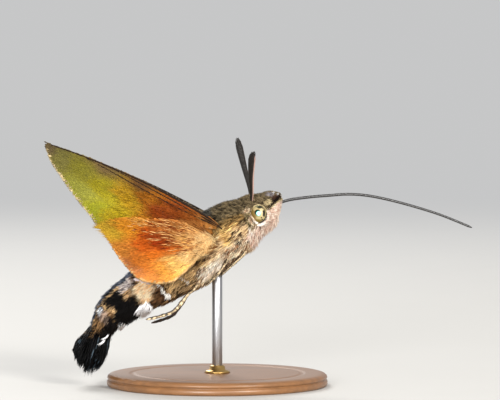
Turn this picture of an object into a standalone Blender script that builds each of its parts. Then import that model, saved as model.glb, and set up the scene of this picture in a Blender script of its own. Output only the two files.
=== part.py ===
"""Hummingbird hawk moth, hovering with its wings raised, life size, on a small display stand.

Metres, +Z up. The moth faces +X and its right side faces -Y.
The origin is the centre of the stand base's underside.
"""

import math

import bmesh
import bpy
import numpy as np
from mathutils import Vector

MM = 0.001
MODEL = "moth"

# Driving dimensions
GAP = 0.15 * MM  # clearance where one piece meets another
WING_THICKNESS = 0.5 * MM
WING_BOW = 0.4 * MM
WING_LENGTH = 22.5 * MM
WING_MIDDLE = 2.5 * MM  # the crown of the bow, across from the leading edge
WING_HALF_WIDTH = 6.0 * MM
PROBOSCIS_LENGTH = 24.0 * MM
PROBOSCIS_RADIUS = 0.26 * MM
EYE_RADII = (0.98 * MM, 0.85 * MM, 1.1 * MM)
EYE_CENTRE = (4.86 * MM, 1.8 * MM, 20.32 * MM)
ANTENNA_SHAFT = 0.26 * MM
ANTENNA_CLUB = 0.43 * MM
CLUB_PLACE = 0.84  # where the club is widest, as a share of the antenna's length
LEG_RADIUS = 0.27 * MM
COXA_SWELL = 1.5  # the leg's radius at the body, in leg radii
BASE_RADIUS = 13.0 * MM
BASE_THICKNESS = 1.5 * MM
BASE_EDGE = 0.3 * MM
ROD_RADIUS = 0.6 * MM
ROD_FOOT = 0.5 * MM
ROD_SOCKET_DEPTH = 1.4 * MM

# Side profile of the body in mm, front to back: back line (x, z), belly line (x, z), half width
STATIONS = {
    "lip": ((7.7, 22.2), (7.6, 21.5), 0.5),
    "snout": ((7.5, 22.7), (7.3, 20.1), 1.25),
    "muzzle": ((6.9, 22.9), (6.8, 19.0), 1.7),
    "brow": ((6.0, 23.0), (6.2, 18.4), 2.0),
    "eyes": ((4.8, 22.7), (5.5, 17.9), 2.25),
    "nape": ((3.6, 22.6), (4.9, 17.3), 2.5),
    "collar": ((2.3, 22.1), (4.3, 16.3), 3.1),
    "shoulder": ((0.8, 21.8), (3.3, 15.5), 3.6),
    "wing_root": ((-1.1, 21.0), (2.0, 14.4), 3.8),
    "hind_thorax": ((-2.8, 19.8), (0.3, 12.9), 3.7),
    "waist": ((-4.7, 18.3), (-1.8, 11.5), 3.4),
    "belly": ((-6.7, 16.7), (-3.8, 10.6), 3.4),
    "segment_3": ((-8.7, 15.0), (-5.9, 9.5), 3.5),
    "segment_4": ((-10.4, 13.5), (-7.9, 8.7), 3.5),
    "segment_5": ((-12.2, 12.0), (-9.5, 7.9), 3.3),
    "segment_6": ((-13.6, 10.7), (-10.9, 7.2), 2.9),
    "segment_7": ((-14.5, 9.2), (-11.8, 6.6), 2.4),
    "tail_root": ((-15.1, 7.2), (-12.5, 5.8), 2.0),
    "fan_upper": ((-16.4, 5.5), (-12.9, 4.9), 2.5),
    "fan_middle": ((-16.9, 3.9), (-13.1, 3.6), 3.0),
    "fan_lower": ((-16.5, 2.5), (-13.9, 2.1), 2.6),
    "fan_tip": ((-15.6, 1.4), (-14.8, 1.3), 1.2),
}
PROFILE = [np.array([*back, *belly, half]) * MM for back, belly, half in STATIONS.values()]
SECTION_SIDES = 24
HEAD_RINGS = 2.4  # rings to a station
THORAX_RINGS = 2.6
ABDOMEN_RINGS = 4.0
FAN_RINGS = 3.0

# Where the body is parted, in stations counted from the lip
NECK = 5.5
WAIST = 10.0
TAIL_ROOT = 17.0
FAN_TIP = len(STATIONS) - 1.0

# Tufts on the abdomen's sides: station, angle down from the back, swelling as a share of the radius
SIDE_TUFTS = ((13.1, 146, 0.3), (14.2, 138, 0.2), (15.2, 146, 0.26))
TUFT_LENGTH = 0.5
TUFT_SPREAD = 22

# The palps are the head's lower front, parted from it along these lines, in mm as (x, z)
PALP_BLOCK = ((5.75, 20.7), (7.1, 21.75), (9.3, 22.7), (9.3, 16.6), (5.35, 16.6))

# Antennae from the brow to the hooked tip, in mm as (x, distance from the middle, z)
ANTENNAE = {
    "right": ((4.0, 1.0, 21.3), (4.05, 2.1, 22.8), (4.0, 4.4, 25.1), (4.1, 6.8, 27.1), (4.3, 7.7, 27.75)),
    "left": ((4.0, 1.0, 21.3), (3.85, 2.1, 23.0), (3.15, 4.2, 25.7), (2.5, 6.2, 28.3), (2.35, 6.9, 29.0)),
}

# Centre line of the extended tongue, in mm as (x, z), from inside the head to its tip
PROBOSCIS = (
    (6.7, 21.32), (7.7, 21.69), (8.9, 21.98), (11.0, 22.25), (13.1, 22.42), (15.2, 22.56),
    (17.3, 22.45), (19.7, 22.02), (22.8, 21.22), (26.3, 20.12), (30.0, 18.62),
)

# The right wings' shared plane: a root point in mm, and directions along and across the wing
WING_ROOT = (0.13, -3.95, 19.14)
WING_ALONG = (-0.87, -0.25, 0.425)
WING_ACROSS = (-0.381, -0.206, -0.901)

# Wing outlines in mm as (along, across)
FOREWING_LEAD = (
    (0.0, -0.1), (1.0, -0.4), (2.2, -0.5), (4.5, -0.7), (7.2, -0.8),
    (10.5, -1.0), (14.3, -0.9), (17.6, -0.7), (21.1, -0.3), (22.5, -0.2),
)
FOREWING_TRAIL = (
    (0.1, 0.9), (1.2, 0.9), (2.3, 1.5), (3.3, 2.4), (5.4, 3.8), (8.1, 5.1), (10.8, 5.8),
    (13.1, 6.0), (14.3, 5.4), (16.6, 4.3), (19.3, 2.8), (21.2, 1.6), (22.2, 0.6),
)
HINDWING_LEAD = (
    (0.7, 1.8), (1.6, 1.7), (2.4, 1.6), (3.4, 1.5), (5.0, 1.7), (6.4, 2.2),
    (8.3, 3.0), (10.0, 3.6), (11.5, 4.5), (12.4, 5.4), (12.7, 6.1),
)
HINDWING_TRAIL = (
    (0.3, 3.0), (0.6, 4.7), (0.9, 5.7), (1.7, 7.2), (2.3, 8.2), (3.5, 9.1),
    (5.2, 9.7), (6.8, 9.7), (9.3, 8.6), (11.2, 7.3), (12.5, 6.4),
)
# The hindwing lies outside the forewing and turns in to the thorax over its first stretch
HINDWING_STEP = 0.68 * MM
HINDWING_TURN_IN = 1.05 * MM
HINDWING_TURN_LENGTH = 2.3 * MM
# The left wings are held a little lower, in degrees about the root
LEFT_WING_DROP = 3.0

# Folded legs held against the body: (station, angle down from the back)
LEGS = {
    "foreleg": ((5.9, 120), (6.3, 140), (6.9, 157), (7.6, 161), (8.3, 162), (8.9, 162)),
    "midleg": ((7.2, 116), (7.7, 132), (8.3, 141), (8.9, 148), (9.4, 156), (9.8, 162)),
    "hindleg": ((8.5, 104), (9.0, 120), (9.5, 131), (10.0, 143), (10.4, 154), (10.8, 162)),
}
# The hind legs then trail free below the belly, in mm as (x, distance from the middle, z)
HINDLEG_FREE = {
    "right": ((-5.0, 1.15, 8.95), (-6.7, 0.95, 8.25), (-8.4, 0.8, 7.85)),
    "left": ((-5.2, 1.15, 8.6), (-6.5, 1.0, 7.95), (-7.9, 0.85, 7.55)),
}

BROWN = (0.22, 0.18, 0.12)
TAN = (0.55, 0.42, 0.26)
CREAM = (0.78, 0.68, 0.58)
BLACK = (0.02, 0.02, 0.025)
RUST = (0.45, 0.2, 0.06)
ORANGE = (0.72, 0.38, 0.1)
OLIVE = (0.28, 0.25, 0.13)
PALE_WOOD = (0.5, 0.36, 0.22)
STEEL = (0.6, 0.6, 0.62)


def clear_scene():
    for obj in list(bpy.data.objects):
        bpy.data.objects.remove(obj)


def material(name, colour, roughness, metallic=0.0):
    made = bpy.data.materials.new(name)
    made.use_nodes = True
    shader = made.node_tree.nodes["Principled BSDF"]
    shader.inputs["Base Color"].default_value = (*colour, 1.0)
    shader.inputs["Roughness"].default_value = roughness
    shader.inputs["Metallic"].default_value = metallic
    return made


def parent_empty(name):
    """The empty that holds the whole model."""
    empty = bpy.data.objects.new(name, None)
    bpy.context.scene.collection.objects.link(empty)
    return empty


def mesh_object(name, points, faces, finish, origin):
    """An object at origin under the model's empty, from points in the model's frame."""
    mesh = bpy.data.meshes.new(name)
    mesh.from_pydata([tuple(float(c) for c in p - origin) for p in np.array(points)], [], faces)
    work = bmesh.new()
    work.from_mesh(mesh)
    bmesh.ops.recalc_face_normals(work, faces=work.faces)
    work.to_mesh(mesh)
    work.free()
    mesh.materials.append(finish)
    mesh.shade_smooth()
    mesh.set_sharp_from_angle(angle=math.radians(50))
    obj = bpy.data.objects.new(name, mesh)
    obj.location = tuple(float(c) for c in origin)
    obj.parent = bpy.data.objects[MODEL]
    bpy.context.scene.collection.objects.link(obj)
    return obj


def smooth_row(rows, t):
    """Catmull-Rom reading of evenly numbered rows at t."""
    last = len(rows) - 1
    i = int(min(max(math.floor(t), 0), last - 1))
    f = t - i
    before, start, end, after = (rows[min(max(i + k, 0), last)] for k in (-1, 0, 1, 2))
    return 0.5 * (
        2 * start
        + (end - before) * f
        + (2 * before - 5 * start + 4 * end - after) * f**2
        + (3 * (start - end) + after - before) * f**3
    )


def smooth_path(points, count):
    """A smooth curve through points, as count points evenly spaced along it."""
    rows = [np.array(p, float) for p in points]
    readings = 40 * len(rows)
    fine = np.array([smooth_row(rows, t) for t in np.linspace(0, len(rows) - 1, readings)])
    along = np.concatenate([[0], np.cumsum(np.linalg.norm(np.diff(fine, axis=0), axis=1))])
    even = np.linspace(0, along[-1], count)
    return np.stack([np.interp(even, along, fine[:, k]) for k in range(fine.shape[1])], axis=1)


def turns(sides):
    return [2 * math.pi * k / sides for k in range(sides)]


def lofted(name, rings, finish):
    """A closed solid through rings of equal length, each end closed by a fan.
    The object's origin is the middle of the first ring."""
    sides = len(rings[0])
    root = rings[0].mean(axis=0)
    points = np.concatenate([*rings, [root], [rings[-1].mean(axis=0)]])
    faces = []
    for r in range(len(rings) - 1):
        for k in range(sides):
            n = (k + 1) % sides
            faces.append((r * sides + k, r * sides + n, (r + 1) * sides + n, (r + 1) * sides + k))
    start, end = len(points) - 2, len(points) - 1
    last = (len(rings) - 1) * sides
    for k in range(sides):
        n = (k + 1) % sides
        faces.append((start, n, k))
        faces.append((end, last + k, last + n))
    return mesh_object(name, points, faces, finish, root)


def tube(name, path, radii, sides, finish):
    """A round solid along path, with a radius for each of its points."""
    rings = []
    side = None
    for i, point in enumerate(path):
        ahead = Vector(path[min(i + 1, len(path) - 1)] - path[max(i - 1, 0)]).normalized()
        start = side if side is not None else ahead.orthogonal()
        side = (start - ahead * start.dot(ahead)).normalized()
        other = ahead.cross(side)
        ring = [point + radii[i] * np.array(side * math.cos(a) + other * math.sin(a)) for a in turns(sides)]
        rings.append(np.array(ring))
    return lofted(name, rings, finish)


def upright(name, x, radius, low, high, sides, finish):
    """An upright round rod or hole centred on (x, 0)."""
    rings = []
    for z in (low, high):
        rings.append(np.array([(x + radius * math.cos(a), radius * math.sin(a), z) for a in turns(sides)]))
    return lofted(name, rings, finish)


def ellipsoid(name, centre, radii, finish, rings=9, sides=14):
    """A rounded solid with its poles on the Y axis."""
    made = []
    for k in range(rings):
        level = math.pi * (k + 0.5) / rings
        wide = math.sin(level)
        ring = [(wide * math.cos(b), math.cos(level), wide * math.sin(b)) for b in turns(sides)]
        made.append(np.array(centre) + np.array(ring) * np.array(radii))
    return lofted(name, made, finish)


def prism(name, outline, low_y, high_y, finish):
    """A block with an outline in the XZ plane, in mm, between two Y values."""
    count = len(outline)
    points = [(x * MM, y, z * MM) for y in (low_y, high_y) for x, z in outline]
    faces = [(k, (k + 1) % count, count + (k + 1) % count, count + k) for k in range(count)]
    faces += [tuple(range(count)), tuple(range(2 * count - 1, count - 1, -1))]
    return mesh_object(name, points, faces, finish, np.array(points[0]))


def grown(outline, by):
    """A convex outline with its corners moved out from its middle, in mm."""
    centre = np.mean(outline, axis=0)
    moved = []
    for corner in outline:
        out = np.array(corner) - centre
        moved.append(tuple(np.array(corner) + out * by / np.linalg.norm(out)))
    return moved


def boolean(obj, other, operation):
    """Cut obj by other, or keep what they share. The other piece is then a hidden cutter."""
    other.hide_render = True
    other.display_type = "WIRE"
    step = obj.modifiers.new(f"{operation.lower()} {other.name}", "BOOLEAN")
    step.operation = operation
    step.object = other


def body_point(t, angle):
    """A point of the body's surface: t in stations from the lip, angle in degrees from the back,
    over the right side at 90, to the belly at 180."""
    back_x, back_z, belly_x, belly_z, half_width = smooth_row(PROFILE, t)
    swell = 1.0
    turn = angle % 360
    for station, lean, share in SIDE_TUFTS:
        off = min(abs(turn - lean), abs(360 - turn - lean))
        swell += share * math.exp(-(((t - station) / TUFT_LENGTH) ** 2) - (off / TUFT_SPREAD) ** 2)
    up, across = math.cos(math.radians(angle)), -math.sin(math.radians(angle))
    middle = np.array([(back_x + belly_x) / 2, 0.0, (back_z + belly_z) / 2])
    rise = np.array([(back_x - belly_x) / 2, 0.0, (back_z - belly_z) / 2])
    return middle + swell * (rise * up + np.array([0.0, half_width * across, 0.0]))


def above_body(t, angle, lift):
    """The point at a height of lift over the body's surface."""
    ahead = body_point(t + 0.02, angle) - body_point(t - 0.02, angle)
    around = body_point(t, angle + 2) - body_point(t, angle - 2)
    normal = np.cross(around, ahead)
    normal /= np.linalg.norm(normal)
    outward = body_point(t, angle) - (body_point(t, 0) + body_point(t, 180)) / 2
    if normal @ outward < 0:
        normal = -normal
    return body_point(t, angle) + normal * lift


def body_solid(name, start, end, rings_per_station, finish, gap_before=0.0, gap_after=0.0):
    """The length of the body between two stations, drawn back at each parted end."""
    start += gap_before / np.linalg.norm(body_point(start + 0.5, 90) - body_point(start - 0.5, 90))
    end -= gap_after / np.linalg.norm(body_point(end + 0.5, 90) - body_point(end - 0.5, 90))
    count = round((end - start) * rings_per_station) + 1
    angles = np.degrees(turns(SECTION_SIDES))
    rings = [np.array([body_point(t, a) for a in angles]) for t in np.linspace(start, end, count)]
    return lofted(name, rings, finish)


def mirrored(points):
    """The same points on the moth's other side."""
    return np.array(points) * np.array([1.0, -1.0, 1.0])


def sides_of_moth():
    """Each side's name, with its sign along Y: the right side faces -Y."""
    return (("right", -1.0), ("left", 1.0))


def make_head(finish, palp_finish):
    head = body_solid("head", 0.0, NECK, HEAD_RINGS, finish, gap_after=GAP / 2)
    wide = 5 * MM
    step_out = 1.6 * GAP / MM
    room = prism("room_palps", grown(PALP_BLOCK, step_out), -wide, wide, finish)
    boolean(head, room, "DIFFERENCE")
    palps = {}
    for side, sign in sides_of_moth():
        palps[side] = body_solid(f"palp_{side}", 0.0, NECK, HEAD_RINGS, palp_finish)
        low, high = sorted((sign * GAP / 2, sign * wide))
        boolean(palps[side], prism(f"block_palp_{side}", PALP_BLOCK, low, high, finish), "INTERSECT")
    return head, palps


def make_eyes(head, palps, finish):
    for side, sign in sides_of_moth():
        centre = np.array(EYE_CENTRE) * (1, sign, 1)
        ellipsoid(f"eye_{side}", centre, EYE_RADII, finish)
        room = ellipsoid(f"room_eye_{side}", centre, np.array(EYE_RADII) + GAP, finish)
        boolean(head, room, "DIFFERENCE")
        boolean(palps[side], room, "DIFFERENCE")


def antenna_radius(share):
    """Slender at the root, swelling to the club, then closing to the hook."""
    club = math.sin(math.pi / 2 * min(share / CLUB_PLACE, 1.0) ** 1.6)
    close = max(0.0, (share - CLUB_PLACE) / (1.0 - CLUB_PLACE)) ** 1.5
    swollen = ANTENNA_SHAFT + (ANTENNA_CLUB - ANTENNA_SHAFT) * club
    tip = 0.9 * ANTENNA_SHAFT
    return swollen + (tip - swollen) * close


def make_antennae(head, finish):
    count = 14
    sides = 8
    rooted = 4
    for side, sign in sides_of_moth():
        path = smooth_path([(x * MM, sign * y * MM, z * MM) for x, y, z in ANTENNAE[side]], count)
        radii = [antenna_radius(k / (count - 1)) for k in range(count)]
        tube(f"antenna_{side}", path, radii, sides, finish)
        back = path[0] - (path[1] - path[0]) * GAP / np.linalg.norm(path[1] - path[0])
        room_path = np.concatenate([[back], path[1:rooted]])
        room_radii = [radii[0] + GAP] + [r + GAP for r in radii[1:rooted]]
        boolean(head, tube(f"room_antenna_{side}", room_path, room_radii, sides, finish), "DIFFERENCE")


def make_proboscis(pieces, finish):
    count = 27
    sides = 8
    rooted = 4
    path = smooth_path([(x * MM, 0.0, z * MM) for x, z in PROBOSCIS], count)
    length = np.linalg.norm(np.diff(path, axis=0), axis=1).sum()
    path = path[0] + (path - path[0]) * PROBOSCIS_LENGTH / length
    root_swell = 1.12
    taper = 0.15
    radii = [PROBOSCIS_RADIUS * (root_swell - taper * k / (count - 1)) for k in range(count)]
    tube("proboscis", path, radii, sides, finish)
    back = path[0] - (path[1] - path[0]) * GAP / np.linalg.norm(path[1] - path[0])
    room_path = np.concatenate([[back], path[1:rooted]])
    room = tube("room_proboscis", room_path, [radii[0] + GAP] * rooted, sides, finish)
    for piece in pieces:
        boolean(piece, room, "DIFFERENCE")


def wing_height(u, v, outer):
    """How far the blade stands off the wing plane at (u, v), in metres."""
    crown = 1 - ((v - WING_MIDDLE) / WING_HALF_WIDTH) ** 2
    bow = -WING_BOW * math.sin(math.pi * min(1.0, u / WING_LENGTH)) * crown
    if not outer:
        return bow
    leave = min(1.0, max(0.0, u / HINDWING_TURN_LENGTH))
    return bow + HINDWING_STEP - HINDWING_TURN_IN * (1 - leave * leave * (3 - 2 * leave))


def wing_solid(name, lead, trail, outer, sign, finish, columns, rows=5):
    """A thin bowed blade between a leading and a trailing edge."""
    along = np.array(WING_ALONG) / np.linalg.norm(WING_ALONG)
    across = np.array(WING_ACROSS) - along * (np.array(WING_ACROSS) @ along)
    across /= np.linalg.norm(across)
    under = np.cross(along, across)
    drop = math.radians(LEFT_WING_DROP if sign > 0 else 0.0)
    along, across = (
        along * math.cos(drop) + across * math.sin(drop),
        across * math.cos(drop) - along * math.sin(drop),
    )
    lead = smooth_path(lead, columns + 1) * MM
    trail = smooth_path(trail, columns + 1) * MM
    root = np.array(WING_ROOT) * MM
    points = []
    for face in (-0.5, 0.5):
        for c in range(columns + 1):
            for r in range(rows + 1):
                u, v = lead[c] + (trail[c] - lead[c]) * r / rows
                height = wing_height(u, v, outer) + face * WING_THICKNESS
                points.append(root + along * u + across * v + under * height)
    if sign > 0:
        points, root = mirrored(points), mirrored(root)
    wide, count = rows + 1, (columns + 1) * (rows + 1)
    faces = []
    for c in range(columns):
        for r in range(rows):
            a = c * wide + r
            faces.append((a, a + 1, a + wide + 1, a + wide))
            faces.append((count + a, count + a + wide, count + a + wide + 1, count + a + 1))
    edge = [c * wide for c in range(columns + 1)]
    edge += [columns * wide + r for r in range(1, rows + 1)]
    edge += [c * wide + rows for c in range(columns - 1, -1, -1)]
    edge += list(range(rows - 1, 0, -1))
    for a, b in zip(edge, edge[1:] + edge[:1], strict=True):
        faces.append((a, b, count + b, count + a))
    return mesh_object(name, points, faces, finish, root)


def make_wings(fore_finish, hind_finish):
    fore_columns = 16
    hind_columns = 13
    for side, sign in sides_of_moth():
        wing_solid(f"forewing_{side}", FOREWING_LEAD, FOREWING_TRAIL, False, sign, fore_finish, fore_columns)
        wing_solid(f"hindwing_{side}", HINDWING_LEAD, HINDWING_TRAIL, True, sign, hind_finish, hind_columns)


def leg_radius(share):
    """Stout at the coxa, thinner towards the foot."""
    coxa = 0.45
    return LEG_RADIUS * (COXA_SWELL - (COXA_SWELL - 1.0) * min(1.0, share / coxa))


def make_legs(finish):
    count = 17
    sides = 7
    for side, sign in sides_of_moth():
        for name, route in LEGS.items():
            lift = LEG_RADIUS * COXA_SWELL + GAP
            points = [above_body(t, angle, lift) for t, angle in route]
            if sign > 0:
                points = list(mirrored(points))
            if name == "hindleg":
                points += [np.array([x, sign * y, z]) * MM for x, y, z in HINDLEG_FREE[side]]
            path = smooth_path(points, count)
            radii = [leg_radius(k / (count - 1)) for k in range(count)]
            tube(f"{name}_{side}", path, radii, sides, finish)


def make_stand(thorax, base_finish, rod_finish):
    profile = (
        (BASE_RADIUS - BASE_EDGE, 0.0),
        (BASE_RADIUS, BASE_EDGE),
        (BASE_RADIUS, BASE_THICKNESS - BASE_EDGE),
        (BASE_RADIUS - BASE_EDGE, BASE_THICKNESS),
    )
    rim_sides = 56
    rings = [np.array([(r * math.cos(a), r * math.sin(a), z) for a in turns(rim_sides)]) for r, z in profile]
    base = lofted("stand_base", rings, base_finish)
    # The rod stands in a blind hole in the base and ends in a blind hole in the thorax
    belly = [body_point(t, 180) for t in np.linspace(NECK, WAIST, 401)]
    below_rod = min(belly, key=lambda point: abs(point[0]))[2]
    top = below_rod + ROD_SOCKET_DEPTH
    past = 3 * MM
    sides = 20
    upright("stand_rod", 0.0, ROD_RADIUS, ROD_FOOT + GAP, top, sides, rod_finish)
    wide = ROD_RADIUS + GAP
    base_room = upright("room_rod_base", 0.0, wide, ROD_FOOT, BASE_THICKNESS + past, sides, rod_finish)
    boolean(base, base_room, "DIFFERENCE")
    thorax_room = upright("room_rod_thorax", 0.0, wide, below_rod - past, top + GAP, sides, rod_finish)
    boolean(thorax, thorax_room, "DIFFERENCE")


def main():
    clear_scene()
    parent_empty(MODEL)
    thorax_coat = material("thorax_coat", BROWN, 0.9)
    head_coat = material("head_coat", OLIVE, 0.9)
    abdomen_coat = material("abdomen_coat", TAN, 0.85)
    tail_coat = material("tail_coat", BLACK, 0.7)
    palp_coat = material("palp_coat", CREAM, 0.9)
    eye = material("eye", OLIVE, 0.2)
    antenna = material("antenna", BROWN, 0.7)
    proboscis = material("proboscis", BLACK, 0.35)
    leg = material("leg", TAN, 0.7)
    forewing = material("forewing", RUST, 0.75)
    hindwing = material("hindwing", ORANGE, 0.75)
    wood = material("stand_base", PALE_WOOD, 0.5)
    steel = material("stand_rod", STEEL, 0.3, 1.0)

    head, palps = make_head(head_coat, palp_coat)
    thorax = body_solid("thorax", NECK, WAIST, THORAX_RINGS, thorax_coat, GAP / 2, GAP / 2)
    body_solid("abdomen", WAIST, TAIL_ROOT, ABDOMEN_RINGS, abdomen_coat, GAP / 2, GAP / 2)
    body_solid("tail_fan", TAIL_ROOT, FAN_TIP, FAN_RINGS, tail_coat, GAP / 2)
    make_eyes(head, palps, eye)
    make_antennae(head, antenna)
    make_proboscis([head, *palps.values()], proboscis)
    make_wings(forewing, hindwing)
    make_legs(leg)
    make_stand(thorax, wood, steel)


main()
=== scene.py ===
import math

import bpy
import numpy as np
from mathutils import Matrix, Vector


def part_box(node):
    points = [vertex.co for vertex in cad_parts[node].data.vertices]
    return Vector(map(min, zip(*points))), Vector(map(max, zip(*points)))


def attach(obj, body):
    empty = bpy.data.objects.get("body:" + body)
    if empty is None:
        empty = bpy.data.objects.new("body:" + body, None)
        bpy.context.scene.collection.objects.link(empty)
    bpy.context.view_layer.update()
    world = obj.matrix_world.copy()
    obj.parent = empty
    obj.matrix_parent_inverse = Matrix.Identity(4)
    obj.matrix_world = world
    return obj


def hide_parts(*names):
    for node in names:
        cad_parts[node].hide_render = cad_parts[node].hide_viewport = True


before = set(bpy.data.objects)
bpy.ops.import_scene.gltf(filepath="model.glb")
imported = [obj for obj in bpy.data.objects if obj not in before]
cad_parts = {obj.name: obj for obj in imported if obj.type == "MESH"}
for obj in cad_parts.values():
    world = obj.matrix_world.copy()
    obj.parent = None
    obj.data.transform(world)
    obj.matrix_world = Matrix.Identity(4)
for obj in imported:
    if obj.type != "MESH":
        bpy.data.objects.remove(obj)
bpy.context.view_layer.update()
mm = 0.001  # shapes are worked out in millimetres and written in metres
print("frame loaded:", len(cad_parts), "nodes")

# colours as the eye sees them, 0 to 255, the dark one and the light one of each stretch of coat
coatInks = {
    "drab": ((78, 64, 44), (176, 152, 112)),
    "crown": ((16, 13, 10), (150, 131, 98)),
    "grizzle": ((46, 40, 42), (172, 166, 170)),
    "soot": ((26, 16, 12), (98, 72, 58)),
    "pitch": ((10, 4, 5), (34, 20, 16)),
    "buff": ((150, 126, 84), (226, 210, 166)),
    "nape": ((38, 32, 24), (172, 152, 110)),
    "mantle": ((16, 14, 11), (138, 120, 88)),
    "slate": ((20, 20, 20), (104, 100, 90)),
    "shoulder": ((42, 32, 18), (166, 132, 80)),
    "gold": ((146, 90, 38), (255, 218, 142)),
    "fawn": ((112, 74, 40), (255, 222, 172)),
    "cream": ((160, 112, 74), (255, 238, 206)),
    "silver": ((226, 204, 180), (255, 248, 234)),
    "belly": ((128, 84, 52), (255, 228, 188)),
    "loin": ((32, 24, 17), (236, 196, 142)),
    # the abdomen's dark back; the blue in its light ink is a painted sheen
    "ink": ((6, 7, 9), (96, 106, 124)),
    "flank": ((84, 60, 36), (236, 198, 140)),
    # pure white for two painted highlights on the crest
    "crestGlint": ((244, 242, 240), (255, 255, 255)),
    "dusk": ((14, 10, 8), (164, 126, 84)),
    "umber": ((6, 4, 3), (112, 78, 50)),
    "sand": ((252, 200, 144), (255, 236, 204)),
    "black": ((3, 3, 3), (16, 14, 14)),
    "ash": ((112, 98, 98), (255, 244, 238)),
    "tan": ((122, 86, 54), (240, 200, 148)),
    "rump": ((20, 17, 17), (198, 170, 150)),
    # whitish blue for painted highlights on the black back of the abdomen
    "skyGlint": ((150, 160, 174), (246, 250, 255)),
    "blush": ((190, 146, 124), (255, 240, 224)),
    "rim": ((236, 220, 204), (255, 252, 246)),
}

# the markings in the order they are laid on: stations and angles from the back that they span, and their inks
markings = (
    (-1.0, 22.0, -30, 210, "drab"),
    (-1.0, 5.6, -30, 100, "crown"),
    (4.6, 6.4, 66, 122, "nape"),
    (5.0, 8.7, -30, 70, "mantle"),
    (8.5, 10.2, -30, 50, "mantle"),
    (7.8, 10.4, -30, 36, "slate"),
    (5.8, 8.9, 62, 83, "shoulder"),
    (8.6, 10.3, 48, 122, "gold"),
    (6.5, 8.7, 80, 122, "gold"),
    (5.9, 7.4, 88, 126, "fawn"),
    (8.0, 9.3, 84, 124, "fawn"),
    (9.5, 10.4, 88, 120, "dusk"),
    (4.9, 10.2, 114, 158, "cream"),
    (3.6, 6.3, 116, 210, "blush"),
    (8.5, 9.8, 122, 146, "silver"),
    (6.2, 10.4, 152, 210, "belly"),
    (10.0, 17.6, -30, 210, "loin"),
    (9.9, 11.6, 50, 128, "flank"),
    (11.5, 12.2, 60, 104, "umber"),
    (11.5, 13.0, 102, 152, "umber"),
    (12.0, 13.12, 66, 104, "sand"),
    (12.35, 13.0, 100, 124, "sand"),
    (13.15, 15.1, 40, 156, "black"),
    (12.75, 13.1, 24, 66, "umber"),
    (13.05, 13.8, 20, 62, "ash"),
    (13.3, 13.75, 60, 84, "tan"),
    (14.8, 15.7, 76, 112, "tan"),
    (15.45, 16.5, 34, 112, "rump"),
    (16.25, 17.5, 34, 118, "dusk"),
    (15.4, 17.5, 108, 150, "black"),
    # the dark back of the abdomen, with the blue of a painted sheen in its light hairs
    (10.0, 17.2, -30, 28, "ink"),
    # painted highlights, whitish blue, on the black back near the tail
    (15.6, 16.1, 38, 62, "skyGlint"),
    (15.9, 16.15, -20, 14, "skyGlint"),
    (10.3, 17.0, 152, 210, "dusk"),
    (17.4, 23.0, -30, 210, "black"),
)

# marks on the head seen from the side, the same on both sides: x, z, half length, half width, slant in
# degrees, inks
headMarks = (
    (6.25, 22.7, 0.5, 0.24, -4, "grizzle"),
    (6.95, 22.33, 0.66, 0.3, 14, "soot"),
    (6.05, 21.76, 0.46, 0.31, 20, "buff"),
    (7.02, 22.02, 0.84, 0.2, 46, "pitch"),
    (6.2, 21.3, 0.42, 0.1, 32, "pitch"),
    (5.97, 21.76, 0.1, 0.08, 0, "soot"),
    # the next two marks are painted highlights on the crest
    (7.2, 22.7, 0.14, 0.06, 20, "crestGlint"),
    (6.7, 22.86, 0.1, 0.05, 0, "crestGlint"),
    (7.66, 22.5, 0.12, 0.06, 20, "rim"),
    (3.55, 20.85, 0.42, 0.2, 30, "cream"),
    (4.1, 19.55, 0.66, 0.2, -62, "cream"),
    (3.45, 19.15, 0.18, 0.1, -60, "mantle"),
    (3.9, 18.3, 0.6, 0.15, -80, "rim"),
)


def linear(colour):
    share = np.array(colour, float) / 255
    return np.where(share <= 0.04045, share / 12.92, ((share + 0.055) / 1.055) ** 2.4)


def smoothStep(value):
    value = np.clip(value, 0, 1)
    return value * value * (3 - 2 * value)


def unit(vectors):
    return vectors / np.maximum(np.linalg.norm(vectors, axis=-1, keepdims=True), 1e-12)


def lumps(places, size, seed=0):
    # a smooth random field, 0 to 1, with lumps of that size
    at = np.asarray(places, float) / size + 31.7 * seed
    cell = np.floor(at)
    part = smoothStep(at - cell)
    total = 0
    for corner in np.ndindex(*(2,) * at.shape[-1]):
        step = np.array(corner)
        key = (cell + step) @ np.array([12.9898, 78.233, 37.719])[: at.shape[-1]]
        value = np.sin(key + seed) * 43758.5453 % 1
        total = total + value * np.prod(np.where(step, part, 1 - part), axis=-1)
    return total


def smoothRead(rows, t):
    # a smooth curve through evenly numbered rows, read at t
    rows, t = np.asarray(rows, float), np.asarray(t, float)
    last = len(rows) - 1
    i = np.clip(np.floor(t).astype(int), 0, last - 1)
    f = (t - i)[..., None]
    before, start, end, after = (rows[np.clip(i + k, 0, last)] for k in (-1, 0, 1, 2))
    bend = (2 * before - 5 * start + 4 * end - after) * f**2
    return 0.5 * (2 * start + (end - before) * f + bend + (3 * (start - end) + after - before) * f**3)


def evenPath(points, count):
    fine = smoothRead(points, np.linspace(0, len(points) - 1, 60 * len(points)))
    along = np.concatenate([[0], np.cumsum(np.linalg.norm(np.diff(fine, axis=0), axis=1))])
    even = np.linspace(0, along[-1], count)
    return np.stack([np.interp(even, along, fine[:, k]) for k in range(fine.shape[1])], axis=1)


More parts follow.
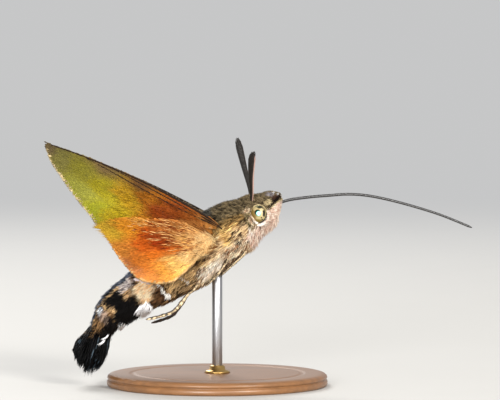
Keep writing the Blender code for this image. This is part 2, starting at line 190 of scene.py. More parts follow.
def makePiece(name, points, faceSets, finish, inks=None, maps=None, smooth=True):
    # a mesh object from arrays: points in mm, faces of any size, a colour for each point, and a place on the
    # map for each point or corner
    volume = 0
    for faces in faceSets:
        first, *rest = (points[np.asarray(faces)[:, k]] for k in range(np.shape(faces)[1]))
        volume += sum(np.sum(first * np.cross(a, b)) for a, b in zip(rest, rest[1:]))
    if volume < 0:  # the faces look inwards
        if maps is not None and len(maps) != len(points):
            ends = np.cumsum([np.size(faces) for faces in faceSets])[:-1]
            shapes = [np.shape(faces) for faces in faceSets]
            parts = zip(np.split(maps, ends), shapes)
            maps = np.concatenate([part.reshape(*shape, 2)[:, ::-1].reshape(-1, 2) for part, shape in parts])
        faceSets = [np.asarray(faces)[:, ::-1] for faces in faceSets]
    mesh = bpy.data.meshes.new(name)
    mesh.vertices.add(len(points))
    mesh.vertices.foreach_set("co", (np.asarray(points) * mm).astype(np.float32).ravel())
    corners = np.concatenate([np.asarray(faces).ravel() for faces in faceSets]).astype(np.int32)
    sizes = np.concatenate([np.full(len(faces), np.shape(faces)[1]) for faces in faceSets])
    mesh.loops.add(len(corners))
    mesh.loops.foreach_set("vertex_index", corners)
    mesh.polygons.add(len(sizes))
    mesh.polygons.foreach_set("loop_start", np.concatenate([[0], np.cumsum(sizes)[:-1]]).astype(np.int32))
    mesh.polygons.foreach_set("use_smooth", np.full(len(sizes), smooth))
    if inks is not None:
        tint = mesh.color_attributes.new("ink", "FLOAT_COLOR", "POINT")
        solid = np.concatenate([inks, np.ones((len(inks), 1))], axis=1)
        tint.data.foreach_set("color", solid.astype(np.float32).ravel())
    if maps is not None:
        layer = mesh.uv_layers.new(name="OFBake")
        placed = maps if len(maps) == len(corners) else maps[corners]
        layer.data.foreach_set("uv", placed.astype(np.float32).ravel())
    mesh.update(calc_edges=True)
    mesh.calc_loop_triangles()
    mesh.materials.append(finish)
    piece = bpy.data.objects.new(name, mesh)
    bpy.context.scene.collection.objects.link(piece)
    return piece


def ringFaces(rings, sides, closed=True):
    # four-cornered faces between rings of points
    r, k = np.meshgrid(np.arange(rings - 1), np.arange(sides if closed else sides - 1), indexing="ij")
    n = (k + 1) % sides
    here, above = r * sides, (r + 1) * sides
    return np.stack([here + k, here + n, above + n, above + k], -1).reshape(-1, 4)


def endFans(rings, sides):
    # triangles that close both ends of a tube to two middle points, which come after its rings
    k = np.arange(sides)
    after, first, last = (k + 1) % sides, rings * sides, (rings - 1) * sides
    return np.concatenate([
        np.stack([np.full(sides, first), after, k], -1),
        np.stack([np.full(sides, first + 1), last + k, last + after], -1),
    ])


def settle(piece, slot, *nodes):
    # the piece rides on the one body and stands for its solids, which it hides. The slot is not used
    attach(piece, "root")
    if nodes:
        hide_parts(*nodes)


def builtPiece(name, built, finish, slot, *nodes, smooth=True):
    # a piece from its points, face sets, inks and places on the map, settled at once
    points, faceSets, inks, maps = built
    piece = makePiece(name, points, faceSets, finish, inks, maps, smooth)
    settle(piece, slot, *nodes)
    return piece


def newFinish(name, look):
    # a surface from its look: an ink attribute or one colour, mottled, with grain in its gloss and its relief
    made = bpy.data.materials.new(name)
    made.use_nodes = True
    tree = made.node_tree
    shader = tree.nodes["Principled BSDF"]
    for socket, value in look.get("sockets", {}).items():
        shader.inputs[socket].default_value = value

    def add(kind, **values):
        node = tree.nodes.new(kind)
        for key, value in values.items():
            if key in node.inputs:
                node.inputs[key].default_value = value
            else:
                setattr(node, key, value)
        return node

    place = add("ShaderNodeTexCoord")
    stretch = add("ShaderNodeMapping", Scale=look.get("stretch", (1, 1, 1)))
    tree.links.new(place.outputs["Object"], stretch.inputs["Vector"])
    grain = add("ShaderNodeTexNoise", Scale=look["grain"], Detail=3.0, Roughness=0.6)
    tree.links.new(stretch.outputs["Vector"], grain.inputs["Vector"])
    shade = add("ShaderNodeMapRange")
    shade.inputs["To Min"].default_value = 1 - look.get("mottle", 0.2)
    shade.inputs["To Max"].default_value = 1 + look.get("mottle", 0.2)
    tree.links.new(grain.outputs["Fac"], shade.inputs["Value"])
    blend = add("ShaderNodeMix", data_type="RGBA", blend_type="MULTIPLY")
    blend.inputs["Factor"].default_value = 1.0
    if "colour" in look:
        blend.inputs["A"].default_value = (*linear(look["colour"]), 1)
    else:
        tint = add("ShaderNodeAttribute", attribute_name="ink")
        tree.links.new(tint.outputs["Color"], blend.inputs["A"])
    tree.links.new(shade.outputs["Result"], blend.inputs["B"])
    tree.links.new(blend.outputs["Result"], shader.inputs["Base Color"])
    gloss = add("ShaderNodeMapRange")
    gloss.inputs["To Min"].default_value, gloss.inputs["To Max"].default_value = look["gloss"]
    tree.links.new(grain.outputs["Fac"], gloss.inputs["Value"])
    tree.links.new(gloss.outputs["Result"], shader.inputs["Roughness"])
    if look.get("cells"):
        relief = add("ShaderNodeTexVoronoi", Scale=look["cells"])
        height = relief.outputs["Distance"]
    else:
        relief = add("ShaderNodeTexNoise", Scale=look["grain"] * 2.5, Detail=2.0)
        height = relief.outputs["Fac"]
    tree.links.new(stretch.outputs["Vector"], relief.inputs["Vector"])
    bump = add("ShaderNodeBump", Strength=look.get("relief", 0.3), Distance=look.get("depth", 0.00003))
    tree.links.new(height, bump.inputs["Height"])
    tree.links.new(bump.outputs["Normal"], shader.inputs["Normal"])
    return made


# the body's own shape in mm, the curve that the solids follow: back (x, z), belly (x, z), half width
bodyShape = {
    "stations": (
        ((7.7, 22.2), (7.6, 21.5), 0.5), ((7.5, 22.7), (7.3, 20.1), 1.25),
        ((6.9, 22.9), (6.8, 19.0), 1.7), ((6.0, 23.0), (6.2, 18.4), 2.0),
        ((4.8, 22.7), (5.5, 17.9), 2.25), ((3.6, 22.6), (4.9, 17.3), 2.5),
        ((2.3, 22.1), (4.3, 16.3), 3.1), ((0.8, 21.8), (3.3, 15.5), 3.6),
        ((-1.1, 21.0), (2.0, 14.4), 3.8), ((-2.8, 19.8), (0.3, 12.9), 3.7),
        ((-4.7, 18.3), (-1.8, 11.5), 3.4), ((-6.7, 16.7), (-3.8, 10.6), 3.4),
        ((-8.7, 15.0), (-5.9, 9.5), 3.5), ((-10.4, 13.5), (-7.9, 8.7), 3.5),
        ((-12.2, 12.0), (-9.5, 7.9), 3.3), ((-13.6, 10.7), (-10.9, 7.2), 2.9),
        ((-14.5, 9.2), (-11.8, 6.6), 2.4), ((-15.1, 7.2), (-12.5, 5.8), 2.0),
        ((-16.4, 5.5), (-12.9, 4.9), 2.5), ((-16.9, 3.9), (-13.1, 3.6), 3.0),
        ((-16.5, 2.5), (-13.9, 2.1), 2.6), ((-15.6, 1.4), (-14.8, 1.3), 1.2),
    ),
    # station and depth in mm
    "coatDepth": (
        (0, 0.22), (1.5, 0.3), (4.5, 0.36), (6.5, 0.6), (9.5, 0.75), (11, 0.55), (16.5, 0.5), (18, 1.1),
        (21, 0.9),
    ),
    "palpLine": ((4.9, 20.0), (5.75, 20.7), (7.1, 21.75), (9.3, 22.7)),  # the palps' upper edge, (x, z)
    "palpBack": ((5.2, 16.0), (5.35, 18.4), (5.2, 19.6), (4.9, 20.0)),  # the throat line behind them
    "palpTop": 22.6,
    "soft": (0.2, 7.0),  # over how many stations and degrees a marking's edge fades
    "jitter": (0.07, 2.5),  # how far hairs stray over that edge, in the same measures
}
bodyRows = np.array([[*back, *belly, half] for back, belly, half in bodyShape["stations"]])
lastStation = len(bodyRows) - 1


def bodyAt(t, angle):
    # t in stations from the lip, angle in degrees from the back, over the right side at 90
    t, angle = np.broadcast_arrays(np.asarray(t, float), np.asarray(angle, float))
    backX, backZ, bellyX, bellyZ, half = np.moveaxis(smoothRead(bodyRows, t), -1, 0)
    up, across = np.cos(np.radians(angle)), -np.sin(np.radians(angle))
    x = (backX + bellyX) / 2 + (backX - bellyX) / 2 * up
    z = (backZ + bellyZ) / 2 + (backZ - bellyZ) / 2 * up
    return np.stack([x, half * across, z], -1)


def bodyFrame(t, angle):
    # the surface point, mm to a station, mm to a degree and the way out
    ahead = (bodyAt(t + 0.03, angle) - bodyAt(t - 0.03, angle)) / 0.06
    around = (bodyAt(t, angle + 1) - bodyAt(t, angle - 1)) / 2
    out = unit(np.cross(ahead, around))
    return bodyAt(t, angle), np.linalg.norm(ahead, axis=-1), np.linalg.norm(around, axis=-1), out


def coatDepth(t):
    rows = smoothRead(bodyRows, np.clip(t, 0, lastStation))
    slim = np.minimum(rows[..., 4], np.hypot(rows[..., 0] - rows[..., 2], rows[..., 1] - rows[..., 3]) / 2)
    return np.minimum(np.interp(t, *np.transpose(bodyShape["coatDepth"])), 0.6 * slim)


def onPalp(places):
    # whether a place is on the palps and cheek, below their upper edge and in front of the throat line
    x, z = places[..., 0], places[..., 2]
    lineX, lineZ = np.transpose(bodyShape["palpLine"])
    backX, backZ = np.transpose(bodyShape["palpBack"])
    return (z < np.interp(x, lineX, lineZ)) & (x > np.interp(z, backZ, backX)) & (z < bodyShape["palpTop"])


def blot(dark, light, share, name):
    # lays the two inks of a stretch over what is there
    darkInk, lightInk = (linear(c) for c in coatInks[name])
    share = np.asarray(share, float)[..., None]
    return dark + (darkInk - dark) * share, light + (lightInk - light) * share


def coatInk(t, angle, mix):
    # the coat's colour: mix runs from the dark hairs of a stretch at 0 to its light ones at 1
    turn = np.abs((np.asarray(angle) + 180) % 360 - 180)
    dark, light = np.zeros(turn.shape + (3,)), np.zeros(turn.shape + (3,))
    for tFrom, tTo, angleFrom, angleTo, name in markings:
        softT, softTurn = bodyShape["soft"]
        softT, softTurn = min(softT, (tTo - tFrom) / 3), min(softTurn, (angleTo - angleFrom) / 3)
        share = smoothStep((t - tFrom) / softT + 0.5) * smoothStep((tTo - t) / softT + 0.5)
        share = share * smoothStep((turn - angleFrom) / softTurn + 0.5)
        dark, light = blot(dark, light, share * smoothStep((angleTo - turn) / softTurn + 0.5), name)
    places = bodyAt(t, angle)
    x, z = places[..., 0], places[..., 2]
    lineX, lineZ = np.transpose(bodyShape["palpLine"])
    rise = z - np.interp(x, lineX, lineZ)
    face = onPalp(places) * 1.0
    eyeGap = np.hypot(x - eyeShape["centre"][0], (z - eyeShape["centre"][2]) / 1.12)
    dark, light = blot(dark, light, face, "blush")
    under = smoothStep((1.5 - eyeGap) / 0.5) * smoothStep((20.5 - z) / 1.2)
    dark, light = blot(dark, light, face * under * 0.85, "rim")
    for markX, markZ, halfLong, halfWide, slant, name in headMarks:
        c, s = math.cos(math.radians(slant)), math.sin(math.radians(slant))
        long, wide = (x - markX) * c + (z - markZ) * s, (z - markZ) * c - (x - markX) * s
        share = smoothStep((1 - np.hypot(long / halfLong, wide / halfWide)) / 0.35 + 0.5) * (t < 6.5)
        dark, light = blot(dark, light, share * (face < 0.5 if name in ("pitch", "soot") else 1), name)
    edge = smoothStep(1.3 - np.abs(rise + 0.06) / 0.1) * (x > 5.3) * (t < 4.6)
    dark, light = blot(dark, light, edge, "buff")
    return dark + (light - dark) * np.clip(mix, 0, 1)[..., None]


eyeShape = {
    "centre": (4.86, 1.8, 20.32),
    "radii": (0.96, 0.84, 1.07),
    "rings": 90,
    "sides": 128,
    "finish": {
        "grain": 4000, "mottle": 0.08, "gloss": (0.16, 0.26), "cells": 26000,
        "relief": 0.12, "depth": 0.000006,
        "sockets": {"Specular IOR Level": 0.35, "Coat Weight": 0.25, "Coat Roughness": 0.06},
    },
    "ink": (138, 118, 74),
    # what shows in the eye: x and z from its middle, half sizes, ink, edge width
    "marks": (
        (-0.72, 0.1, 0.44, 1.3, (112, 90, 44), 0.8),
        # a pale patch high on the back of the eye is a painted highlight
        (-0.34, 0.64, 0.32, 0.24, (160, 144, 102), 0.8),
        (0.34, 0.14, 0.3, 0.7, (186, 170, 128), 0.8),
        (0.14, -0.42, 0.42, 0.24, (164, 148, 104), 0.8),
        (-0.05, -0.86, 0.6, 0.28, (116, 98, 50), 0.7),
        (-0.1, 0.94, 0.4, 0.14, (128, 128, 94), 0.7),
        (0.14, 0.82, 0.32, 0.14, (36, 38, 28), 0.6),
        (0.34, -0.40, 0.08, 0.08, (48, 40, 22), 0.7),
        (0.45, -0.62, 0.13, 0.08, (42, 34, 18), 0.7),
        (-0.12, 0.23, 0.34, 0.33, (6, 8, 8), 0.22),
        # in the false pupil: a turquoise ring, the painted glow of the eye's shine, round a pale core that is a
        # painted highlight
        (0.0, 0.1, 0.3, 0.32, (20, 148, 124), 0.22),
        (0.01, 0.1, 0.2, 0.23, (236, 255, 252), 0.5),
    ),
    # rings: x and z of the middle, radii, half width, start and end in degrees up from the front, ink
    "ringsSeen": (
        (0.0, 0.1, 0.84, 0.93, 0.05, -55, 64, (156, 148, 104)),
        (0.0, 0.1, 0.74, 0.80, 0.04, 34, 90, (40, 38, 24)),
        (0.0, 0.12, 0.635, 0.9, 0.13, -30, 30, (4, 3, 3)),
        (0.0, 0.04, 0.95, 1.06, 0.09, -86, 122, (14, 12, 8)),
    ),
}


skinShape = {
    "sides": 72,
    "dense": 8,  # rings to a station
    "below": 0.02,  # mm under the foot of the coat
    "fanRoot": 17,  # station
    "tuck": (17.2, 3.0, 0.85),  # the station where the skin starts to draw in, over how many, and how far
    "tone": 0.55,
    "finish": {
        "grain": 6000, "mottle": 0.25, "gloss": (0.7, 0.95), "relief": 0.6, "depth": 0.00005,
        "sockets": {"Specular IOR Level": 0.2},
    },
}


def makeSkin():
    # one skin from the lip to the root of the tail's fan, inside the coat
    sides, dense = skinShape["sides"], skinShape["dense"]
    stations = np.linspace(0, lastStation, dense * lastStation + 1)
    angles = np.linspace(0, 360, sides, endpoint=False)
    t, angle = np.meshgrid(stations, angles, indexing="ij")
    surface, _, _, out = bodyFrame(t, angle)
    surface = surface - out * (coatDepth(t)[..., None] + skinShape["below"])
    # the fan is blades alone: the skin draws in to a blunt end at its root
    hub = surface[dense * skinShape["fanRoot"]].mean(0)
    start, over, most = skinShape["tuck"]
    tuck = smoothStep((t - start) / over)[..., None] * most
    surface = surface + (hub - surface) * tuck
    streak = lumps(np.stack([t * 2.5, angle / 9], -1), 1.0, 5)
    colours = coatInk(t, angle, 0.15 + 0.5 * streak) * skinShape["tone"]
    points = np.concatenate([surface.reshape(-1, 3), [surface[0].mean(0), surface[-1].mean(0)]])
    inks = np.concatenate([colours.reshape(-1, 3), [colours[0].mean(0), colours[-1].mean(0)]])
    faces = ringFaces(len(stations), sides)
    # the map: once round is the map's width, lip to tail its height
    column, row = faces % sides, faces // sides
    column = np.where((column == 0) & (faces[:, [0]] % sides == sides - 1), sides, column)
    sheet = np.stack([column / sides, row / (len(stations) - 1)], -1).reshape(-1, 2)
    k = np.arange(sides)
    turn = np.concatenate([np.stack([k + 0.5, k + 1, k], -1), np.stack([k + 0.5, k, k + 1], -1)]) / sides
    height = np.repeat([[0.0], [1.0]], sides, axis=0) * np.ones(3)
    maps = np.concatenate([sheet, np.stack([turn, height], -1).reshape(-1, 2)])
    finish = newFinish("skin", skinShape["finish"])
    skin = makePiece("moth_skin", points, [faces, endFans(len(stations), sides)], finish, inks, maps)
    settle(skin, "thorax_coat", "head", "palp_right", "palp_left", "thorax", "abdomen", "tail_fan")
    print("skin:", len(skin.data.polygons), "faces")


mapPatch = 0.003  # the size of a blade or scale on the map


def bladeMesh(centres, outward, width, flat, roll, inks, places=None):
    # closed three-sided blades along rows of centres, the last one the tip. places, where the piece has a
    # map, are their roots on it
    count, rings = len(centres), centres.shape[1] - 1
    s = np.linspace(0, 1, rings + 1)
    ahead = unit(np.gradient(centres, axis=1))
    side = unit(np.cross(outward, ahead))
    lift = np.cross(ahead, side)
    turn = roll[:, None, None]
    side, lift = side * np.cos(turn) + lift * np.sin(turn), lift * np.cos(turn) - side * np.sin(turn)
    swell = np.minimum(1, 0.6 + 1.3 * s) * (1 - s**3) ** 0.7
    half = (width[:, None] * swell / 2)[:, :-1, None]
    middle, side, lift = centres[:, :-1], side[:, :-1], lift[:, :-1]
    ring = np.stack([middle - side * half, middle + side * half, middle + lift * half * flat], axis=2)
    points = np.concatenate([ring.reshape(count, -1, 3), centres[:, -1:]], axis=1)
    each = points.shape[1]
    quads = ringFaces(rings, 3)
    tip = 3 * rings
    tris = np.array([[0, 2, 1]] + [[tip - 3 + k, tip - 3 + (k + 1) % 3, tip] for k in range(3)])
    start = (np.arange(count) * each)[:, None, None]
    faceSets = [(quads[None] + start).reshape(-1, 4), (tris[None] + start).reshape(-1, 3)]
    colours = np.concatenate([np.repeat(inks[:, :-1], 3, axis=1), inks[:, -1:]], axis=1)
    built = points.reshape(-1, 3), faceSets, colours.reshape(-1, 3)
    if places is None:
        return built
    across = np.tile([-0.5, 0.5, 0.0], rings)
    along = np.repeat(s[:-1], 3) - 0.5
    spread = np.concatenate([np.stack([across, along], -1), [[0.0, 0.5]]]) * mapPatch
    maps = np.clip(places, 0.002, 0.998)[:, None] + spread
    return *built, maps.reshape(-1, 2)


def rays(start, way, length, share):
    # a row of points from each start, at those shares of its length along its way
    return start[:, None] + (way * length[:, None])[:, None] * share[:, None]


def sowRoots(rng, count, stretch, turn, keep=None):
    # roots spread evenly over a stretch of the body and an angle down from its back, on both sides
    found = np.zeros((0, 2))
    while len(found) < count:
        t, angle = rng.uniform(*stretch, 4 * count), rng.uniform(*turn, 4 * count)
        _, ahead, around, _ = bodyFrame(t, angle)
        area = ahead * around
        ok = rng.uniform(0, area.max(), len(t)) < area
        if keep is not None:
            ok &= keep(t, angle)
        found = np.concatenate([found, np.stack([t, angle], -1)[ok]])
    return found[:count, 0], found[:count, 1]


def layHair(t, angle, lean, length, top, rings, curl=0.0, gather=None):
    # walks each hair over the body, back along it and lean degrees towards the belly, rising to top mm over
    # the coat line. seen is the place that shows most, whose marking the hair takes
    side = np.where(angle < 0, -1.0, 1.0)
    bottom = -coatDepth(t) - 0.04
    centres, outs, seen = [], [], (t, angle)
    for share in np.linspace(0, 1, rings + 1):
        point, ahead, around, out = bodyFrame(t, angle)
        if share < 0.7:
            seen = (t, angle)
        centres.append(point + out * (bottom + (top - bottom) * share**0.7)[:, None])
        outs.append(out)
        way = np.radians(lean + curl * share)
        step = length / rings
        t = np.clip(t + np.cos(way) * step / ahead, 0.02, lastStation)
        angle = angle + side * np.sin(way) * step / np.maximum(around, 0.004)
        if gather is not None:
            t, angle = np.clip(t + gather[0] / rings, 0.02, lastStation), angle + gather[1] / rings
    return np.stack(centres, 1), np.stack(outs, 1), seen


def chance(row, column, seed):
    # a number from 0 to 1 for each whole-numbered place
    return np.sin(row * 12.9898 + column * 78.233 + seed * 3.7) * 43758.5453 % 1


def lockPull(t, turn, lock, seed):
    # how far each hair's tip is drawn into its lock, and the lock's tone, height and swing, 0 to 1
    column = np.floor(turn / lock["wide"])
    shift = chance(0, column, seed)
    row = np.floor(t / lock["long"] + shift)
    across = (column + 0.3 + 0.4 * chance(row, column, seed + 1)) * lock["wide"]
    along = (row + 0.5 - shift) * lock["long"]
    gather = lock["pull"] * 0.3 * (along - t), lock["pull"] * (across - turn)
    return gather, *(chance(row, column, seed + k) for k in (2, 3, 4))


def clearOfEyes(centres):
    # hairs that would lie over an eye are slid to its rim, seen from the side
    for sign in (-1, 1):
        middle = np.array(eyeShape["centre"]) * (1, sign, 1)
        off = (centres - middle) / eyeShape["radii"]
        reach = np.hypot(off[..., 0], off[..., 2])
        over = (reach < 1.0) & (off[..., 1] * sign > -0.55)
        push = np.where(over, 1.0 / np.maximum(reach, 0.2), 1.0)
        off[..., 0] *= push
        off[..., 2] *= push
        centres = middle + off * eyeShape["radii"]
    return centres


def eyeOver(t, angle):
    # whether an eye lies over that place of the body
    places = bodyAt(t, angle)
    off = (np.abs(places) - eyeShape["centre"]) / eyeShape["radii"]
    return (np.hypot(off[..., 0], off[..., 2]) < 0.97) & (np.abs(places[..., 1]) > 1.0)


coatFinish = {
    "grain": 9000, "mottle": 0.22, "gloss": (0.5, 0.75), "relief": 0.35, "depth": 0.00002,
    "sockets": {"Specular IOR Level": 0.12},
}

# how hair keeps together: a lock's length in stations, its width in degrees, how much its tips close, how
# much locks differ in tone, in height in mm and in their lie in degrees, and the share of dark hairs between
# them, which are painted shade in the gaps between the locks
locks = {
    "speckle": {"long": 0.16, "wide": 4, "pull": 0.3, "tone": 0.25, "rise": 0.05, "swing": 16, "under": 0.0},
    "down": {"long": 0.3, "wide": 6, "pull": 0.5, "tone": 0.3, "rise": 0.08, "swing": 14, "under": 0.0},
    "nap": {"long": 0.3, "wide": 3, "pull": 0.5, "tone": 0.32, "rise": 0.1, "swing": 14, "under": 0.08},
    "strand": {"long": 1.1, "wide": 3.0, "pull": 0.9, "tone": 0.5, "rise": 0.26, "swing": 9, "under": 0.11},
    "wisp": {"long": 1.1, "wide": 3.4, "pull": 0.9, "tone": 0.7, "rise": 0.26, "swing": 9, "under": 0.17},
    "scales": {"long": 0.45, "wide": 3.4, "pull": 0.5, "tone": 0.6, "rise": 0.1, "swing": 8, "under": 0.08},
}

# each stretch of the coat: stations, angles, number of tufts and rings in each, length, width, height of the
# tips over the coat line, lean where leanAt has no formula for it, its spread in degrees, locks, length and
# width of the flecks, contrast
coats = {
    "head_coat": {
        "slot": "head_coat", "stretch": (0.0, 5.7), "turn": (-116, 116), "count": 11500, "rings": 2,
        "face": False, "length": (0.24, 0.46), "width": 0.078, "top": (-0.2, 0.06), "wild": 20,
        "lock": "speckle", "fleck": (0.3, 0.16), "contrast": 0.8,
    },
    "palp_coat": {
        "slot": "palp_coat", "stretch": (0.0, 5.5), "turn": (40, 320), "count": 10000, "rings": 2,
        "face": True, "length": (0.26, 0.55), "width": 0.078, "top": (-0.2, 0.12), "wild": 18,
        "lock": "down", "fleck": (0.34, 0.16), "contrast": 0.7,
    },
    "thorax_coat_back": {
        "slot": "thorax_coat", "stretch": (5.3, 10.4), "turn": (-74, 74), "count": 14500, "rings": 2,
        "length": (0.45, 0.85), "width": 0.092, "top": (-0.4, 0.05), "lean": 4, "wild": 14, "lock": "nap",
        "fleck": (0.4, 0.18), "contrast": 0.85,
    },
    "thorax_coat_side": {
        "slot": "thorax_coat", "stretch": (5.3, 10.4), "turn": (68, 124), "count": 9600, "rings": 3,
        "both": True, "length": (1.0, 2.3), "width": 0.1, "top": (-0.45, 0.22), "wild": 4,
        "lock": "strand", "fleck": (1.5, 0.26), "contrast": 0.65,
    },
    "thorax_coat_belly": {
        "slot": "thorax_coat", "stretch": (5.2, 10.6), "turn": (114, 246), "count": 7900, "rings": 3,
        "length": (0.8, 1.6), "width": 0.1, "top": (-0.45, 0.16), "lean": -4, "wild": 5, "lock": "wisp",
        "fleck": (1.2, 0.3), "contrast": 0.8,
    },
    "throat_coat": {
        "slot": "palp_coat", "stretch": (3.4, 6.4), "turn": (104, 256), "count": 3000, "rings": 3,
        "face": False, "length": (0.5, 1.0), "width": 0.085, "top": (-0.3, 0.26), "wild": 10,
        "lock": "wisp", "fleck": (0.5, 0.2), "contrast": 0.7,
    },
    "throat_fringe": {
        "slot": "palp_coat", "stretch": (1.2, 6.2), "turn": (134, 226), "count": 1500, "rings": 3,
        "length": (0.5, 1.0), "width": 0.06, "top": (0.0, 0.5), "lean": 0, "wild": 16, "lock": "down",
        "fleck": (0.5, 0.2), "contrast": 0.6,
    },
    "abdomen_coat_back": {
        "slot": "abdomen_coat", "stretch": (10.1, 17.6), "turn": (-62, 62), "count": 9000, "rings": 2,
        "length": (0.45, 0.8), "width": 0.12, "top": (-0.35, 0.02), "lean": 2, "wild": 6, "lock": "scales",
        "fleck": (0.5, 0.18), "contrast": 1.0, "segments": True,
    },
    "abdomen_coat_side": {
        "slot": "abdomen_coat", "stretch": (10.1, 17.6), "turn": (54, 126), "count": 11500, "rings": 2,
        "both": True, "length": (0.6, 1.1), "width": 0.105, "top": (-0.35, 0.1), "lean": 6, "wild": 6,
        "lock": "scales", "fleck": (1.0, 0.26), "contrast": 1.15, "segments": True,
    },
    "abdomen_coat_belly": {
        "slot": "abdomen_coat", "stretch": (10.2, 17.2), "turn": (120, 240), "count": 7000, "rings": 2,
        "length": (0.7, 1.1), "width": 0.125, "top": (-0.35, 0.02), "lean": 0, "wild": 6, "lock": "scales",
        "fleck": (0.7, 0.24), "contrast": 0.8, "segments": True,
    },
}


wingRootPlace = (8.9, 88)  # station and angle
# where each segment of the abdomen ends, in stations
segmentEnds = (9.6, 10.62, 11.78, 12.3, 13.3, 14.2, 15.1, 16.0, 16.9, 18.0)


def leanAt(name, t, angle):
    # which way the hair lies, in degrees from straight back towards the belly
    turn = np.abs((angle + 180) % 360 - 180)
    if name == "palp_coat":
        # forward along the palps, turning down and back to the throat
        return 176 - 120 * smoothStep((t - 2.0) / 3.0)
    if name == "thorax_coat_side":
        # the long hair of the side runs together at the root of the wings
        meetT, meetTurn = wingRootPlace
        gapT, gapTurn = (meetT - t) * 1.95, (meetTurn - turn) * 0.063
        towards = np.degrees(np.arctan2(gapTurn, np.maximum(gapT, 0.25)))
        near = smoothStep((t - 5.9) / 1.0) * smoothStep((9.6 - t) / 0.8) * smoothStep((120 - turn) / 14)
        return 12 + (np.clip(towards, -62, 62) - 12) * near
    if name == "head_coat":
        return 6 + 20 * smoothStep((turn - 50) / 40)
    if name == "throat_coat":
        return 18 * smoothStep((150 - turn) / 40)
    return np.full(t.shape, float(coats[name]["lean"]))


def growCoats():
    finish = newFinish("coat_hair", coatFinish)
    for number, (name, coat) in enumerate(coats.items()):
        rng = np.random.default_rng(40 + number)
        count = coat["count"]
        wanted = coat.get("face")

        def keep(t, angle):
            ok = ~eyeOver(t, angle)
            return ok if wanted is None else ok & (onPalp(bodyAt(t, angle)) == wanted)

        t, angle = sowRoots(rng, count, coat["stretch"], coat["turn"], keep)
        if coat.get("both"):
            angle = angle * rng.choice([-1, 1], count)
        lock = locks[coat["lock"]]
        turn = (angle + 180) % 360 - 180
        gather, tone, height, swing = lockPull(t, turn, lock, number)
        lean = leanAt(name, t, angle) + coat["wild"] * rng.normal(0, 1, count) + lock["swing"] * (swing - 0.5)
        lean = lean + 16 * (lumps(np.stack([t * 1.1, angle / 20], -1), 1.0, number) - 0.5)
        length = rng.uniform(*coat["length"], count)
        top = rng.uniform(*coat["top"], count) * np.minimum(1, coatDepth(t) / 0.3)
        top = top + lock["rise"] * (0.6 * height + 0.4 * tone - 0.6)
        # the dark hairs between the locks, painted shade in the gaps, stay where they are and lie lower
        under = rng.uniform(0, 1, count) < lock["under"]
        gather = gather[0] * ~under, gather[1] * ~under
        top = np.where(under, top - 0.5 * lock["rise"], top)
        phase = np.full(count, 0.5)
        if coat.get("segments"):
            tip = t + 0.8 * np.mean(coat["length"]) / 2.2
            place = np.clip(np.searchsorted(segmentEnds, tip), 1, len(segmentEnds) - 1)
            ends = np.array(segmentEnds)
            phase = np.clip((tip - ends[place - 1]) / (ends[place] - ends[place - 1]), 0, 1)
            top = top + 0.2 * phase - 0.12
        rings = coat["rings"]
        centres, outs, seen = layHair(t, angle, lean, length, top, rings, rng.normal(0, 7, count), gather)
        if t.min() < 5:
            centres = clearOfEyes(centres)
        long, wide = coat["fleck"]
        streak = lumps(np.stack([t * 1.9 / long, turn * 0.055 / wide], -1), 1.0, 20 + number) - 0.5
        mix = 0.5 + coat["contrast"] * (1.6 * streak + rng.normal(0, 0.42, count)) + lock["tone"] * (tone - 0.5)
        mix = mix + 0.35 * smoothStep((phase - 0.72) / 0.2) - 0.45 * smoothStep((0.24 - phase) / 0.15)
        strayT, strayAngle = (rng.normal(0, stray, count) for stray in bodyShape["jitter"])
        base = coatInk(seen[0] + strayT, seen[1] + strayAngle, mix) * rng.uniform(0.86, 1.12, (count, 1))
        base = np.where(under[:, None], base * 0.42, base)
        roots = 0.6 if coat.get("segments") else 0.42
        shade = np.interp(np.linspace(0, 1, rings + 1), (0, 0.33, 0.67, 1), (roots, 0.82, 1.05, 1.15))
        inks = np.clip(base[:, None] * shade[:, None], 0, 1)
        low, high = coat["stretch"]
        first, last = coat["turn"]
        # a stretch on both sides has each side's hairs at their own angle on the map, the others fill its width
        across = ((angle + 180) % 360) / 360 if coat.get("both") else (angle - first) / (last - first)
        places = np.stack([across, (t - low) / (high - low)], -1)
        width = coat["width"] * rng.uniform(0.7, 1.3, count)
        built = bladeMesh(centres, outs, width, 0.6, rng.normal(0, 0.5, count), inks, places)
        piece = builtPiece(name, built, finish, coat["slot"])
        print(f"{name}: {count} tufts, {len(piece.data.loop_triangles)} triangles")


